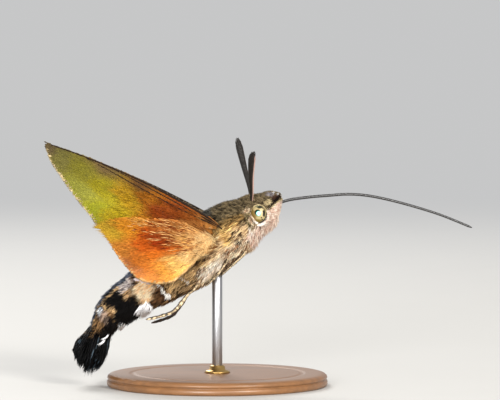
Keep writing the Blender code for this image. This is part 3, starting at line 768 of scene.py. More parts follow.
def makeEyes():
    finish = newFinish("eye", eyeShape["finish"])
    rings, sides = eyeShape["rings"], eyeShape["sides"]
    theta, phi = np.meshgrid(np.linspace(0.004, math.pi - 0.004, rings),
                             np.linspace(0, 2 * math.pi, sides, endpoint=False), indexing="ij")
    ball = np.stack([np.sin(theta) * np.cos(phi), np.cos(theta), np.sin(theta) * np.sin(phi)], -1).reshape(-1, 3)
    spot = ball * eyeShape["radii"]
    inks = np.zeros((len(ball), 3)) + linear(eyeShape["ink"])
    for x, z, halfX, halfZ, ink, edge in eyeShape["marks"]:
        reach = np.hypot((spot[:, 0] - x) / halfX, (spot[:, 2] - z) / halfZ)
        share = smoothStep((1 - reach) / edge + 0.5)[:, None] * (spot[:, [1]] > 0)
        inks = inks + (linear(ink) - inks) * share
    for x, z, radiusX, radiusZ, half, low, high, ink in eyeShape["ringsSeen"]:
        offX, offZ = (spot[:, 0] - x) / radiusX, (spot[:, 2] - z) / radiusZ
        gap = np.abs(np.hypot(offX, offZ) - 1) * radiusX / half
        turn = np.degrees(np.arctan2(offZ, offX))
        share = smoothStep(1.5 - gap) * smoothStep((turn - low) / 12) * smoothStep((high - turn) / 12)
        inks = inks + (linear(ink) - inks) * (share[:, None] * (spot[:, [1]] > 0))
    faceSets = [ringFaces(rings, sides), endFans(rings, sides)]
    ends = np.array([[0, 1, 0], [0, -1, 0]]) * eyeShape["radii"]
    points = np.concatenate([spot, ends])
    inks = np.concatenate([inks, inks[:1], inks[-1:]])
    for side, sign in (("right", -1), ("left", 1)):
        middle = np.array(eyeShape["centre"]) * (1, sign, 1)
        eye = makePiece(f"moth_eye_{side}", points * (1, sign, 1) + middle, faceSets, finish, inks)
        settle(eye, "eye", f"eye_{side}")
    print("eyes: two, with the false pupil and its rings")


def tubeMesh(path, radius, sides, upward):
    # a closed tube round a path. radius: one row per ring, a column per side or one for all
    ahead = unit(np.gradient(path, axis=0))
    side = unit(np.cross(ahead, upward))
    lift = np.cross(side, ahead)
    phi = np.linspace(0, 2 * math.pi, sides, endpoint=False)
    radius = np.broadcast_to(np.asarray(radius).reshape(len(path), -1), (len(path), sides))
    around = side[:, None] * np.cos(phi)[:, None] + lift[:, None] * np.sin(phi)[:, None]
    points = (path[:, None] + around * radius[..., None]).reshape(-1, 3)
    points = np.concatenate([points, path[:1], path[-1:]])
    return points, [ringFaces(len(path), sides), endFans(len(path), sides)], around.reshape(-1, 3)


def joined(parts):
    # several (points, face sets, inks) as one, with the maps where they have them. Face sets are matched by
    # the number of their corners
    points, inks, maps, sets, start = [], [], [], {}, 0
    for part in parts:
        for faces in part[1]:
            sets.setdefault(np.shape(faces)[1], []).append(np.asarray(faces) + start)
        points.append(part[0])
        inks.append(part[2])
        if len(part) > 3:
            maps.append(part[3])
        start += len(part[0])
    faceSets = [np.concatenate(faces) for faces in sets.values()]
    return np.concatenate(points), faceSets, np.concatenate(inks), np.concatenate(maps) if maps else None


antennaShape = {
    "right": ((4.0, 1.0, 21.3), (4.05, 2.1, 22.8), (4.0, 4.4, 25.1), (4.1, 6.8, 27.1), (4.3, 7.7, 27.75)),
    "left": ((4.0, 1.0, 21.3), (3.85, 2.1, 23.0), (3.15, 4.2, 25.7), (2.5, 6.2, 28.3), (2.35, 6.9, 29.0)),
    "segments": 46,
    "thick": (
        (0, 0.17), (0.1, 0.19), (0.35, 0.27), (0.7, 0.40), (0.84, 0.43), (0.93, 0.33), (0.98, 0.15), (1, 0.04),
    ),
    "notch": 0.14,  # how far each segment narrows at its root
    "ink": (26, 21, 17),
    "flecks": (176, 122, 66),
    "front": (214, 174, 160),
    "hairs": 900,
    "finish": {
        "grain": 12000, "mottle": 0.2, "gloss": (0.35, 0.6), "relief": 0.3, "depth": 0.00001,
        "sockets": {"Specular IOR Level": 0.4},
    },
}


def makeAntennae():
    finish = newFinish("antenna", antennaShape["finish"])
    rng = np.random.default_rng(7)
    sides, rings = 22, antennaShape["segments"] * 4 + 1
    for side, sign in (("right", -1), ("left", 1)):
        path = evenPath(antennaShape[side], rings) * (1, sign, 1)
        share = np.linspace(0, 1, rings)
        step = share * antennaShape["segments"] % 1
        radius = np.interp(share, *np.transpose(antennaShape["thick"]))
        radius = radius * (1 - antennaShape["notch"] * (1 - np.minimum(1, step * 2.5)))
        points, faceSets, around = tubeMesh(path, radius, sides, (1, 0, 0))
        segment = np.repeat(np.floor(share * antennaShape["segments"]), sides)
        out = around @ unit(np.array([0.25, sign * 1.0, 0]))
        front = around @ unit(np.array([1.0, sign * 0.7, 0]))
        fleck = smoothStep((out - 0.8) / 0.15) * (0.2 + 0.8 * (np.sin(segment * 12.9 + sign) > -0.1))
        inks = np.zeros((len(around), 3)) + linear(antennaShape["ink"])
        inks = inks + (linear(antennaShape["flecks"]) - inks) * (fleck * 0.9)[:, None]
        inks = inks + (linear(antennaShape["front"]) - inks) * smoothStep((front - 0.74) / 0.16)[:, None]
        inks = inks * np.repeat(0.65 + 0.35 * np.minimum(1, step * 3), sides)[:, None]
        inks = np.concatenate([inks, inks[:1], inks[-1:]])
        # scales laid along the shaft, lifted a little at their tips
        pick = rng.integers(sides * 2, len(around) - sides * 6, antennaShape["hairs"])
        ring = pick // sides
        ahead = unit(np.gradient(path, axis=0))[ring]
        away = around[pick]
        start = path[ring] + away * (radius[ring] * 0.9)[:, None]
        s = np.linspace(0, 1, 3)
        centres = rays(start, ahead, rng.uniform(0.18, 0.3, len(pick)), s)
        centres = centres + away[:, None] * (0.015 + 0.035 * s)[:, None]
        outs = np.repeat(away[:, None], 3, axis=1)
        tint = np.repeat((inks[pick] * rng.uniform(0.8, 1.5, (len(pick), 1)) + 0.002)[:, None], 3, axis=1)
        hairs = bladeMesh(centres, outs, np.full(len(pick), 0.06), 0.3, np.zeros(len(pick)), tint)
        whole = joined([(points, faceSets, inks), hairs])
        builtPiece(f"moth_antenna_{side}", whole, finish, "antenna", f"antenna_{side}")
    print("antennae: two of", antennaShape["segments"], "segments")


proboscisShape = {
    "path": (
        (6.7, 21.32), (7.7, 21.69), (8.9, 21.98), (11.0, 22.25), (13.1, 22.42), (15.2, 22.56), (17.3, 22.45),
        (19.7, 22.02), (22.8, 21.22), (26.3, 20.12), (30.0, 18.62),
    ),
    "length": 24.0,
    "radius": 0.185,
    "taper": 0.3,
    "ridge": 0.14,  # mm between the ridges
    "finish": {
        "colour": (20, 18, 19), "grain": 5000, "mottle": 0.25, "gloss": (0.22, 0.42), "depth": 0.000008,
        "sockets": {"Specular IOR Level": 0.55, "Coat Weight": 0.35, "Coat Roughness": 0.15},
    },
}


def makeProboscis():
    rows = np.array([(x, 0.0, z) for x, z in proboscisShape["path"]])
    rings, sides = 641, 20
    path = evenPath(rows, rings)
    share = np.linspace(0, 1, rings)
    along = share * proboscisShape["length"]
    phi = np.linspace(0, 2 * math.pi, sides, endpoint=False)
    # the seam is where the two halves meet
    seam = np.exp(-((np.degrees(np.abs((phi % math.pi) - math.pi / 2)) / 20) ** 2))
    lobes = 1 + 0.1 * np.abs(np.cos(phi)) - 0.22 * seam
    ridges = 1 + 0.05 * np.cos(2 * math.pi * along / proboscisShape["ridge"])
    radius = proboscisShape["radius"] * (1.12 - proboscisShape["taper"] * share) * ridges
    radius[-14:] *= np.sqrt(np.linspace(1, 0.05, 14))
    points, faceSets, _ = tubeMesh(path, radius[:, None] * lobes, sides, (0, 0, 1))
    tongue = makePiece("moth_proboscis", points, faceSets, newFinish("proboscis", proboscisShape["finish"]))
    settle(tongue, "proboscis", "proboscis")
    print("proboscis: 24 mm, in two halves")


wingShape = {
    "root": (0.13, -3.95, 19.14),
    "along": (-0.87, -0.25, 0.425),
    "across": (-0.381, -0.206, -0.901),
    "leftDrop": 3.0,  # degrees that the left wings hang lower
    "foreLead": (
        (0, -0.1), (1, -0.4), (2.2, -0.5), (4.5, -0.7), (7.2, -0.8), (10.5, -1.0), (14.3, -0.9), (17.6, -0.7),
        (21.1, -0.3), (22.5, -0.2),
    ),
    "foreTrail": (
        (0.1, 0.9), (1.2, 0.9), (2.3, 1.5), (3.3, 2.4), (5.4, 3.8), (8.1, 5.1), (10.8, 5.8), (13.1, 6.0),
        (14.3, 5.4), (16.6, 4.3), (19.3, 2.8), (21.2, 1.6), (22.2, 0.6),
    ),
    "hindLead": (
        (0.7, 1.8), (1.6, 1.7), (2.4, 1.6), (3.4, 1.5), (5.0, 1.7), (6.4, 2.2), (8.3, 3.0), (10.0, 3.6),
        (11.5, 4.5), (12.4, 5.4), (12.7, 6.1),
    ),
    "hindTrail": (
        (0.3, 3.0), (0.6, 4.7), (0.9, 5.7), (1.7, 7.2), (2.3, 8.2), (3.5, 9.1), (5.2, 9.7), (6.8, 9.7),
        (9.3, 8.6), (11.2, 7.3), (12.5, 6.4),
    ),
    "film": 0.035,  # half the thickness
    "fringe": 0.38,
    "scales": {"fore": 3500, "hind": 2700},
    "hairs": {"fore": 900, "hind": 2300},
    "fringeHairs": {"fore": 1150, "hind": 950},
    "finish": {
        "grain": 3000, "mottle": 0.16, "gloss": (0.5, 0.75), "relief": 0.3, "depth": 0.00002,
        "sockets": {"Specular IOR Level": 0.1},
    },
    "costa": (36, 24, 16),
    "tanHair": (228, 176, 112),
    "rustHair": (112, 44, 12),
    "fringeInks": {"fore": (196, 176, 132), "hind": (214, 172, 116)},
}

# spots of colour on each face of each wing: along, across, ink. Between them the colours run into each other
wingSpots = {
    "foreUnder": (
        (0.4, 0.3, (160, 106, 50)), (2.6, 0.6, (132, 70, 22)), (5.0, 0.4, (118, 54, 12)),
        (5.4, 2.2, (104, 40, 8)), (7.2, 1.4, (114, 48, 8)), (8.4, 0.6, (132, 78, 12)),
        (8.2, 3.6, (148, 92, 18)), (11.0, 1.4, (148, 114, 20)), (11.2, 4.4, (146, 126, 18)),
        (14.2, 1.8, (126, 116, 20)), (13.8, 4.6, (128, 128, 28)), (17.0, 1.0, (106, 100, 30)),
        (16.8, 3.2, (122, 120, 46)), (20.0, 0.8, (94, 88, 42)), (22.0, 0.2, (76, 64, 42)),
        (10.0, -0.7, (84, 56, 28)), (15.0, -0.7, (92, 74, 44)),
    ),
    "hindUnder": (
        (1.0, 2.6, (204, 156, 96)), (2.3, 3.2, (202, 148, 80)), (2.6, 6.0, (232, 186, 104)),
        (3.7, 4.9, (188, 104, 34)), (4.0, 7.2, (214, 146, 58)), (5.0, 9.0, (186, 116, 52)),
        (5.6, 2.6, (160, 96, 42)), (5.6, 4.9, (134, 40, 2)), (7.6, 4.4, (158, 66, 10)),
        (6.6, 7.4, (198, 112, 38)), (9.8, 4.8, (176, 112, 26)), (8.8, 7.4, (178, 112, 42)),
        (11.4, 5.8, (170, 136, 38)), (9.0, 3.2, (176, 122, 50)), (5.2, 6.2, (206, 108, 28)),
        (7.2, 5.8, (178, 80, 16)), (7.2, 2.9, (154, 90, 36)), (8.0, 8.6, (158, 98, 56)),
        (4.4, 4.1, (128, 52, 12)), (1.2, 4.8, (228, 188, 126)),
    ),
    "foreUpper": (
        (0.5, 0.4, (120, 106, 84)), (4.0, 1.0, (98, 88, 70)), (7.0, 2.0, (122, 112, 92)),
        (10.0, 3.0, (126, 116, 96)), (13.0, 2.0, (108, 98, 80)), (16.0, 1.5, (122, 112, 92)),
        (19.0, 1.0, (96, 86, 70)), (22.0, 0.2, (66, 56, 44)), (12.5, 5.2, (98, 86, 68)),
    ),
    "hindUpper": (
        (1.0, 2.8, (104, 84, 58)), (2.0, 4.5, (196, 128, 58)), (4.5, 5.0, (218, 128, 44)),
        (8.0, 5.0, (220, 126, 40)), (5.0, 9.0, (110, 72, 42)), (9.3, 8.0, (96, 62, 38)),
        (12.2, 6.2, (84, 54, 34)), (3.0, 8.0, (160, 100, 50)),
    ),
}
# dark wavy lines over the forewing's upper side: how far along, half width
wingLines = ((4.6, 0.16), (5.5, 0.12), (12.4, 0.2), (13.5, 0.13), (17.6, 0.14))

foreVeins = (
    ((-0.5, 0.3), (1.4, -0.25), (4.5, -0.6), (10.5, -0.88), (17.6, -0.6), (22.0, -0.15)),
    ((-0.5, 0.32), (1.4, 0.0), (4.5, -0.22), (9.0, -0.5), (14.0, -0.72)),
    ((-0.5, 0.34), (1.4, 0.25), (4.5, 0.2), (8.8, 0.0), (13.5, -0.3), (17.5, -0.5)),
    ((8.8, 0.0), (14.0, 0.1), (19.5, -0.2), (21.2, -0.2)),
    ((11.5, 0.1), (16.0, 0.35), (20.5, 0.3), (22.1, 0.3)),
    ((9.4, 1.0), (14.0, 1.3), (18.5, 1.3), (21.2, 1.3)),
    ((9.4, 1.6), (13.5, 2.2), (17.0, 2.6), (19.4, 2.6)),
    ((8.9, 2.2), (12.5, 3.2), (15.5, 3.9), (17.2, 3.9)),
    ((0.3, 0.5), (4.5, 1.5), (8.9, 2.2)),
    ((7.6, 2.0), (10.8, 3.6), (14.6, 5.0)),
    ((5.8, 1.7), (9.0, 3.7), (12.6, 5.6)),
    ((0.4, 0.7), (3.0, 1.7), (6.0, 3.6), (9.5, 5.1)),
    ((8.8, 0.0), (9.3, 0.6), (9.4, 1.2), (8.9, 2.2)),
)
hindVeins = (
    ((0.9, 1.9), (4.0, 1.85), (7.5, 3.0), (12.0, 5.3)),
    ((0.9, 2.2), (4.5, 2.9), (8.5, 4.5), (12.4, 6.1)),
    ((0.9, 2.5), (4.5, 3.7), (8.0, 5.6), (11.4, 7.0)),
    ((0.9, 2.8), (4.0, 4.4), (7.0, 6.7), (9.5, 8.3)),
    ((0.8, 3.1), (3.4, 5.0), (6.0, 7.8), (7.2, 9.3)),
    ((0.7, 3.4), (2.8, 5.4), (4.6, 8.0), (5.3, 9.4)),
    ((0.6, 3.7), (1.9, 5.6), (3.0, 7.6), (3.6, 8.9)),
)


def wingPlace(u, v, height, hind, sign):
    # a point of a wing: along it, across it and above it on the under side. sign -1 is the right side
    along = unit(np.array(wingShape["along"]))
    across = np.array(wingShape["across"])
    across = unit(across - along * (across @ along))
    under = np.cross(along, across)
    drop = math.radians(wingShape["leftDrop"] if sign > 0 else 0)
    c, s = math.cos(drop), math.sin(drop)
    along, across = along * c + across * s, across * c - along * s
    lift = height - 0.4 * np.sin(math.pi * np.clip(u / 22.5, 0, 1)) * (1 - ((v - 2.5) / 6) ** 2)
    if hind:
        lift = lift + 0.68 - 1.05 * (1 - smoothStep(u / 2.3))
    place = np.array(wingShape["root"]) + u[..., None] * along + v[..., None] * across
    return (place + lift[..., None] * under) * (1, -1 if sign > 0 else 1, 1)


def wingEdges(hind):
    name = "hind" if hind else "fore"
    return evenPath(wingShape[name + "Lead"], 240), evenPath(wingShape[name + "Trail"], 240)


def readEdge(edge, s):
    grid = np.linspace(0, 1, len(edge))
    return np.stack([np.interp(s, grid, edge[:, 0]), np.interp(s, grid, edge[:, 1])], -1)


def onWing(edges, s, w):
    lead, trail = readEdge(edges[0], s), readEdge(edges[1], s)
    gap = trail - lead
    wide = np.maximum(np.linalg.norm(gap, axis=-1), 0.05)
    reach = 1 - np.minimum(0.6, wingShape["fringe"] * 0.8 / wide)
    return lead + gap * (w * reach)[..., None]


def wingInk(u, v, face, hind):
    # face 1 is the under side, -1 the upper side
    name = ("hind" if hind else "fore") + ("Under" if face > 0 else "Upper")
    at = np.stack([u, v], -1)
    # colours run out from the root in streaks
    turn, far = np.arctan2(v - 0.8, u + 2.5), np.hypot(u + 2.5, v - 0.8)
    streak = 0.7 * lumps(np.stack([turn * 18, far * 0.24], -1), 1.0, 3)
    streak = streak + 0.3 * lumps(np.stack([turn * 46, far * 0.5], -1), 1.0, 4) - 0.5
    bent = at + np.stack([streak * 2.2, streak * 0.4], -1)
    total, weight = 0, 0
    for along, across, ink in wingSpots[name]:
        near = 1 / (((bent[..., 0] - along) ** 2 * 0.5 + (bent[..., 1] - across) ** 2) + 0.15) ** 2
        total, weight = total + near[..., None] * linear(ink), weight + near
    ink = total / weight[..., None]
    if face < 0 and not hind:
        across = u + 0.35 * v + 0.22 * np.sin(v * 3.1) + 0.12 * np.sin(v * 7.3)
        for place, half in wingLines:
            ink = ink * (1 - 0.68 * smoothStep(1.5 - np.abs(across - place) / half))[..., None]
        dot = smoothStep(1.4 - np.hypot(u - 9.6, v - 0.9) / 0.32)
        ink = ink * (1 - 0.8 * dot)[..., None]
    return ink * (1 + 0.5 * streak)[..., None]


def scaleMesh(at, way, length, width, low, high, hind, sign, inks, places):
    # closed lozenges lying on a wing like roof tiles: root, left, right, tip and the crown between
    side = np.stack([-way[:, 1], way[:, 0]], -1) * (width / 2)[:, None]
    reach = way * length[:, None]
    crown, gap = at + reach * 0.55, high - low
    flat = np.stack([at, crown - side, crown + side, at + reach, crown], 1)
    rise = np.stack([low, low + gap * 0.4, low + gap * 0.4, high, low + gap * 0.9], 1)
    points = wingPlace(flat[..., 0], flat[..., 1], rise, hind, sign).reshape(-1, 3)
    shape = np.array([[0, 2, 1], [1, 2, 3], [0, 1, 4], [1, 3, 4], [3, 2, 4], [2, 0, 4]])
    faces = (shape[None] + (np.arange(len(at)) * 5)[:, None, None]).reshape(-1, 3)
    shade = np.array([0.7, 0.95, 0.95, 1.15, 1.05])
    colours = (inks[:, None] * shade[:, None]).reshape(-1, 3)
    patch = np.array([[0, -1], [-1, 0], [1, 0], [0, 1], [0, 0]]) * (mapPatch / 2)
    maps = (places[:, None] + patch).reshape(-1, 2)
    return points, [faces], np.clip(colours, 0, 1), maps


def wingMap(u, v, face):
    # the under side takes the left half of the map and the upper side the right half
    return np.stack([0.01 + np.clip(u, 0, 23) / 23 * 0.47 + (0 if face > 0 else 0.5), (v + 1.2) / 11.5], -1)


def makeWing(side, sign, hind, finish):
    name = "hind" if hind else "fore"
    rng = np.random.default_rng(80 + 2 * hind + (sign > 0))
    edges = wingEdges(hind)
    # the film, with both faces and a rim
    rings, columns = 110, 26
    s, w = np.meshgrid(np.linspace(0, 1, rings), np.linspace(0, 1, columns), indexing="ij")
    u, v = np.moveaxis(onWing(edges, s, w), -1, 0)
    grid = ringFaces(rings, columns, closed=False)
    sheets, inks = [], []
    for face in (1, -1):
        sheets.append(wingPlace(u, v, np.full(s.shape, face * wingShape["film"]), hind, sign))
        inks.append(wingInk(u, v, face, hind) * 0.85)
    count = rings * columns
    corner = np.arange(count).reshape(rings, columns)
    loop = np.concatenate([corner[:, 0], corner[-1, 1:], corner[-2::-1, -1], corner[0, -2:0:-1]])
    after = np.roll(loop, -1)
    rim = np.stack([loop, after, after + count, loop + count], -1)
    faces = np.concatenate([grid[:, ::-1], grid + count, rim])
    parts = [(np.concatenate(sheets).reshape(-1, 3), [faces], np.concatenate(inks).reshape(-1, 3))]
    steps, sides = 36, 8  # along and round a vein
    for number, vein in enumerate(hindVeins if hind else foreVeins):
        u, v = evenPath(vein, steps).T
        share = np.linspace(0, 1, steps)
        front = not hind and number < 3
        radius = (0.15 if number == 0 else 0.1 if front else 0.085) * (1 - 0.55 * share)
        radius = radius * np.clip(share * 9, 0.25, 1) if front else radius
        height = 0.05 + 0.5 * (1 - smoothStep((u + 0.5) / 3.5)) if front else np.zeros(steps)
        line = wingPlace(u, v, height, hind, sign)
        points, faceSets, _ = tubeMesh(line, radius, sides, (0.3, -0.94, 0.1))
        ink = linear(wingShape["costa"]) if front else wingInk(u, v, 1, hind) * 0.5
        colours = np.repeat(np.broadcast_to(ink, (steps, 3)), sides, axis=0)
        parts.append((points, faceSets, np.concatenate([colours, colours[:1], colours[-1:]])))
    builtPiece(f"moth_{name}wing_{side}", joined(parts), finish, name + "wing", f"{name}wing_{side}")
    # scales on both faces, and hairs on the under side near the root
    tufts = []
    for face in (1, -1):
        n = wingShape["scales"][name]
        s, w = rng.uniform(0, 1, 6 * n), rng.uniform(0, 1, 6 * n) ** 0.95
        wide = np.linalg.norm(readEdge(edges[1], s) - readEdge(edges[0], s), axis=-1)
        ok = np.flatnonzero(rng.uniform(0, wide.max(), 6 * n) < wide)[:n]
        s, w = s[ok], w[ok]
        at = onWing(edges, s, w)
        way = unit(at - np.array([-2.5, 0.2 if not hind else 1.2]) + rng.normal(0, 0.2, at.shape))
        way[:, 1] = np.where(w < 0.08, np.maximum(way[:, 1], 0.0), way[:, 1])
        way = unit(way)
        length, width = rng.uniform(0.34, 0.52, len(at)), rng.uniform(0.12, 0.19, len(at))
        low, high = np.full(len(at), face * 0.03), face * rng.uniform(0.07, 0.12, len(at))
        ink = wingInk(at[:, 0], at[:, 1], face, hind) * rng.uniform(0.86, 1.16, (len(at), 1))
        places = wingMap(at[:, 0], at[:, 1], face)
        tufts.append(scaleMesh(at, way, length, width, low, high, hind, sign, ink, places))
    builtPiece(f"{name}wing_scales_{side}", joined(tufts), finish, name + "wing", smooth=False)
    tufts = []
    n = wingShape["hairs"][name]
    s, w = rng.uniform(0, 1, n) ** 1.15, rng.uniform(0.16 if not hind else 0.03, 0.9, n)
    at = onWing(edges, s, w)
    near = (at[:, 0] > 0.8) & (at[:, 0] < 12) if not hind else w > 0
    at, w = at[near], w[near]
    way = unit(at - np.array([-2.5, 0.4 if not hind else 1.4]) + rng.normal(0, 0.2, at.shape))
    length = rng.uniform(0.7, 1.5, len(at)) * (1.35 if hind else 1.0)
    length = length * (1 - 0.25 * at[:, 0] / 12) * (1 - 0.6 * smoothStep((w - 0.7) / 0.2))
    share = np.linspace(0, 1, 3)
    bend = rng.normal(0, 0.12, len(at))[:, None, None] * np.stack([-way[:, 1], way[:, 0]], -1)[:, None]
    flat = rays(at, way, length, share) + bend * (share**2)[:, None]
    rise = 0.05 + rng.uniform(0.06, 0.17, (len(at), 1)) * np.sin(share * 2.2)
    centres = wingPlace(flat[..., 0], flat[..., 1], rise, hind, sign)
    outs = wingPlace(flat[..., 0], flat[..., 1], rise + 1, hind, sign) - centres
    ink = wingInk(at[:, 0], at[:, 1], 1, hind) * rng.uniform(0.85, 1.25, (len(at), 1))
    if hind:
        # tan and dark rust hairs run out through the front half of the hindwing
        front = smoothStep((5.4 - at[:, 1]) / 1.6) * smoothStep((10.5 - at[:, 0]) / 4)
        pick = rng.uniform(0, 1, len(at))[:, None]
        tan, rust = linear(wingShape["tanHair"]), linear(wingShape["rustHair"])
        ink = np.where(pick < 0.24 * front[:, None], tan * rng.uniform(0.7, 1.1, (len(at), 1)), ink)
        ink = np.where(pick > 1 - 0.28 * front[:, None], rust, ink)
    # painted shade: each hair darker at its root and lighter towards its tip
    inks = np.clip(ink[:, None] * np.array([0.85, 1.05, 1.15])[:, None], 0, 1)
    places = wingMap(at[:, 0], at[:, 1], 1)
    width = rng.uniform(0.05, 0.085, len(at))
    tufts.append(bladeMesh(centres, outs, width, 0.4, np.zeros(len(at)), inks, places))
    # the fringe along the outer and inner margins
    n = wingShape["fringeHairs"][name]
    s = rng.uniform(0.02, 1, n)
    at = onWing(edges, s, np.ones(n))
    rim = readEdge(edges[1], s)
    lead = readEdge(edges[0], s)
    out = unit(rim - lead) + 0.35 * unit(at - np.array([-1.5, 1.2])) + rng.normal(0, 0.07, at.shape)
    length = wingShape["fringe"] * rng.uniform(0.85, 1.15, n)
    share = np.linspace(-0.3, 1, 3)
    flat = rays(at, unit(out), length, share)
    rise = rng.uniform(-0.05, 0.05, (n, 1)) * np.ones(3)
    centres = wingPlace(flat[..., 0], flat[..., 1], rise, hind, sign)
    outs = wingPlace(flat[..., 0], flat[..., 1], rise + 1, hind, sign) - centres
    pale = linear(wingShape["fringeInks"][name])
    ink = pale * rng.uniform(0.7, 1.2, (n, 1)) * (0.75 + 0.4 * (np.sin(s * 60) > -0.3))[:, None]
    inks = np.repeat(np.clip(ink, 0, 1)[:, None], 3, axis=1)
    places = wingMap(at[:, 0], at[:, 1], 1)
    tufts.append(bladeMesh(centres, outs, rng.uniform(0.07, 0.12, n), 0.25, np.zeros(n), inks, places))
    builtPiece(f"{name}wing_hairs_{side}", joined(tufts), finish, name + "wing")


def makeWings():
    finish = newFinish("wing", wingShape["finish"])
    for side, sign in (("right", -1), ("left", 1)):
        for hind in (False, True):
            makeWing(side, sign, hind, finish)
    print("wings: four films with veins, scales, hairs and fringes")


# bunches of long hair at the wing roots: where they start on the body, how many, where they end on the wing
plumes = {
    "stretch": (8.3, 9.3),
    "turn": (78, 102),
    "count": 2000,
    "width": 0.105,
    "locks": 30,
    "reach": ((4.4, 0.9), (5.8, 1.8), (6.4, 2.9), (5.6, 4.0), (4.4, 5.0), (3.0, 5.9), (1.7, 6.4), (0.6, 6.2)),
    "inks": {"upper": ((52, 22, 6), (192, 128, 62)), "lower": ((168, 112, 60), (255, 230, 172))},
}


def makePlumes():
    finish = newFinish("plume_hair", coatFinish)
    for side, sign in (("right", -1), ("left", 1)):
        rng = np.random.default_rng(120 + (sign > 0))
        n = plumes["count"]
        bunches = plumes["locks"]
        t, angle = sowRoots(rng, n, plumes["stretch"], plumes["turn"])
        # hairs that start high up end high up, so that they fan without crossing, and keep together in locks
        low, high = plumes["turn"]
        order = (angle - low) / (high - low)
        lockPlace = (np.arange(bunches) + rng.uniform(0, 1, bunches)) / bunches
        lock = np.argmin(np.abs(order[:, None] + rng.normal(0, 0.05, (n, 1)) - lockPlace), axis=1)
        tone, size, bow = rng.uniform(0, 1, (3, bunches))[:, lock]
        order = np.clip(lockPlace[lock] + rng.normal(0, 0.012, n), 0, 1)
        goal = smoothRead(plumes["reach"], order * (len(plumes["reach"]) - 1))
        reach = (0.42 + 0.58 * size) * rng.uniform(0.4, 1.05, n) ** 0.6
        goal = goal * reach[:, None] + rng.normal(0, 0.05, (n, 2))
        start, _, _, out = bodyFrame(t, angle * (-sign))
        start = start - out * 0.5
        rise = 0.12 + 0.34 * tone + rng.uniform(0, 0.1, n) + 0.68 * smoothStep((goal[:, 1] - 1.0) / 1.2)
        end = wingPlace(goal[:, 0], goal[:, 1], rise, False, sign)
        bend = (start + end) / 2 + out * (0.1 + 0.24 * tone + rng.uniform(0.0, 0.1, n))[:, None]
        bend[:, 2] += 0.35 * (bow - 0.5) + 0.7 * (0.7 - order)
        share = np.linspace(0, 1, 5)[:, None]
        centres = start[:, None] * (1 - share) ** 2 + bend[:, None] * 2 * share * (1 - share)
        centres = centres + end[:, None] * share**2
        centres = centres + rng.normal(0, 0.03, (n, 1, 3)) * np.sin(share * math.pi * 1.3)
        outs = np.repeat(out[:, None], 5, axis=1)
        mix = 0.1 + 0.85 * tone + rng.normal(0, 0.14, n)
        # some hairs are made dark: painted shade in the gaps between the locks
        mix = np.where(rng.uniform(0, 1, n) < 0.18, -0.2, mix)
        upper, lower = ([linear(c) for c in plumes["inks"][key]] for key in ("upper", "lower"))
        down = smoothStep((order - 0.25) / 0.4)[:, None]
        dark, light = (above + (below - above) * down for above, below in zip(upper, lower))
        ink = dark + (light - dark) * np.clip(mix, 0, 1)[:, None]
        ink = np.where(mix[:, None] < -0.1, dark * 0.55, ink)
        # the tips take on the colour of the wing that they lie on
        wings = [wingInk(goal[:, 0], goal[:, 1], 1, hind) for hind in (False, True)]
        ground = np.where(goal[:, [1]] < 1.7, wings[0], wings[1])
        blend = np.array([0, 0, 0.05, 0.3, 0.7])[:, None]
        # painted shade: each hair darker at its root
        inks = ink[:, None] * np.array([0.8, 1.05, 1.0, 1.0, 1.05])[:, None]
        inks = np.clip(inks + (ground[:, None] - inks) * blend, 0, 1)
        places = np.stack([order, t - plumes["stretch"][0]], -1)
        width = plumes["width"] * rng.uniform(0.6, 1.2, n)
        built = bladeMesh(centres, outs, width, 0.5, rng.normal(0, 0.4, n), inks, places)
        builtPiece(f"wing_root_plume_{side}", built, finish, "thorax_coat")
    print("plumes:", 2 * plumes["count"], "hairs at the wing roots")


# tufts that stand off the abdomen on both sides
sideTufts = {
    "inks": {
        "frost": ((232, 226, 216), (255, 255, 252)),
        "blaze": ((232, 228, 222), (255, 255, 254)),
        "lilac": ((206, 190, 196), (250, 240, 244)),
        "snow": ((246, 246, 250), (255, 255, 255)),
        # dark inks for painted shade in the gaps of the white tuft
        "tuftGapShade": ((50, 44, 44), (130, 122, 122)),
        "jet": ((3, 3, 3), (18, 16, 16)),
        "pearl": ((250, 250, 252), (255, 255, 255)),
        "coal": ((3, 3, 3), (24, 20, 18)),
        "milk": ((236, 236, 240), (255, 255, 255)),
    },
    # stations, angles, stations forward for each degree down, number, length, lean, height of the tips,
    # width, inks
    "tufts": (
        ((10.6, 10.72), (108, 130), 0.0155, 70, (0.3, 0.6), 10, (0.02, 0.16), 0.1, "frost"),
        ((11.7, 11.8), (94, 140), 0.0035, 130, (0.3, 0.6), 12, (0.02, 0.16), 0.09, "frost"),
        ((11.5, 11.7), (128, 140), 0.0, 60, (0.4, 0.8), 30, (0.05, 0.25), 0.09, "blaze"),
        ((12.7, 12.82), (50, 84), 0.02, 110, (0.3, 0.5), 8, (0.02, 0.14), 0.1, "lilac"),
        ((12.6, 13.05), (117, 146), 0.0, 400, (1.1, 2.1), 32, (0.3, 0.6), 0.08, "snow"),
        # dark hairs among the white tuft, painted shade in the gaps between its strands
        ((12.6, 13.0), (118, 142), 0.0, 40, (0.8, 1.5), 32, (0.3, 0.5), 0.05, "tuftGapShade"),
        ((13.2, 14.7), (104, 154), 0.0, 620, (1.0, 1.8), 20, (0.05, 0.4), 0.12, "jet"),
        ((14.65, 15.05), (136, 158), 0.0, 160, (0.8, 1.4), 34, (0.1, 0.5), 0.11, "pearl"),
        ((15.2, 16.6), (106, 152), 0.0, 480, (0.9, 1.5), 8, (0.0, 0.25), 0.12, "coal"),
        ((16.28, 16.4), (147, 151), 0.0, 12, (1.8, 2.5), -40, (0.5, 0.65), 0.12, "milk"),
        ((16.85, 16.97), (150, 154), 0.0, 12, (1.5, 2.1), -46, (0.5, 0.65), 0.12, "milk"),
    ),
    "bunch": 4.5,  # degrees from one point of close tips to the next
    "map": (10.2, 6.8),  # the station where the map starts and how many it spans
}


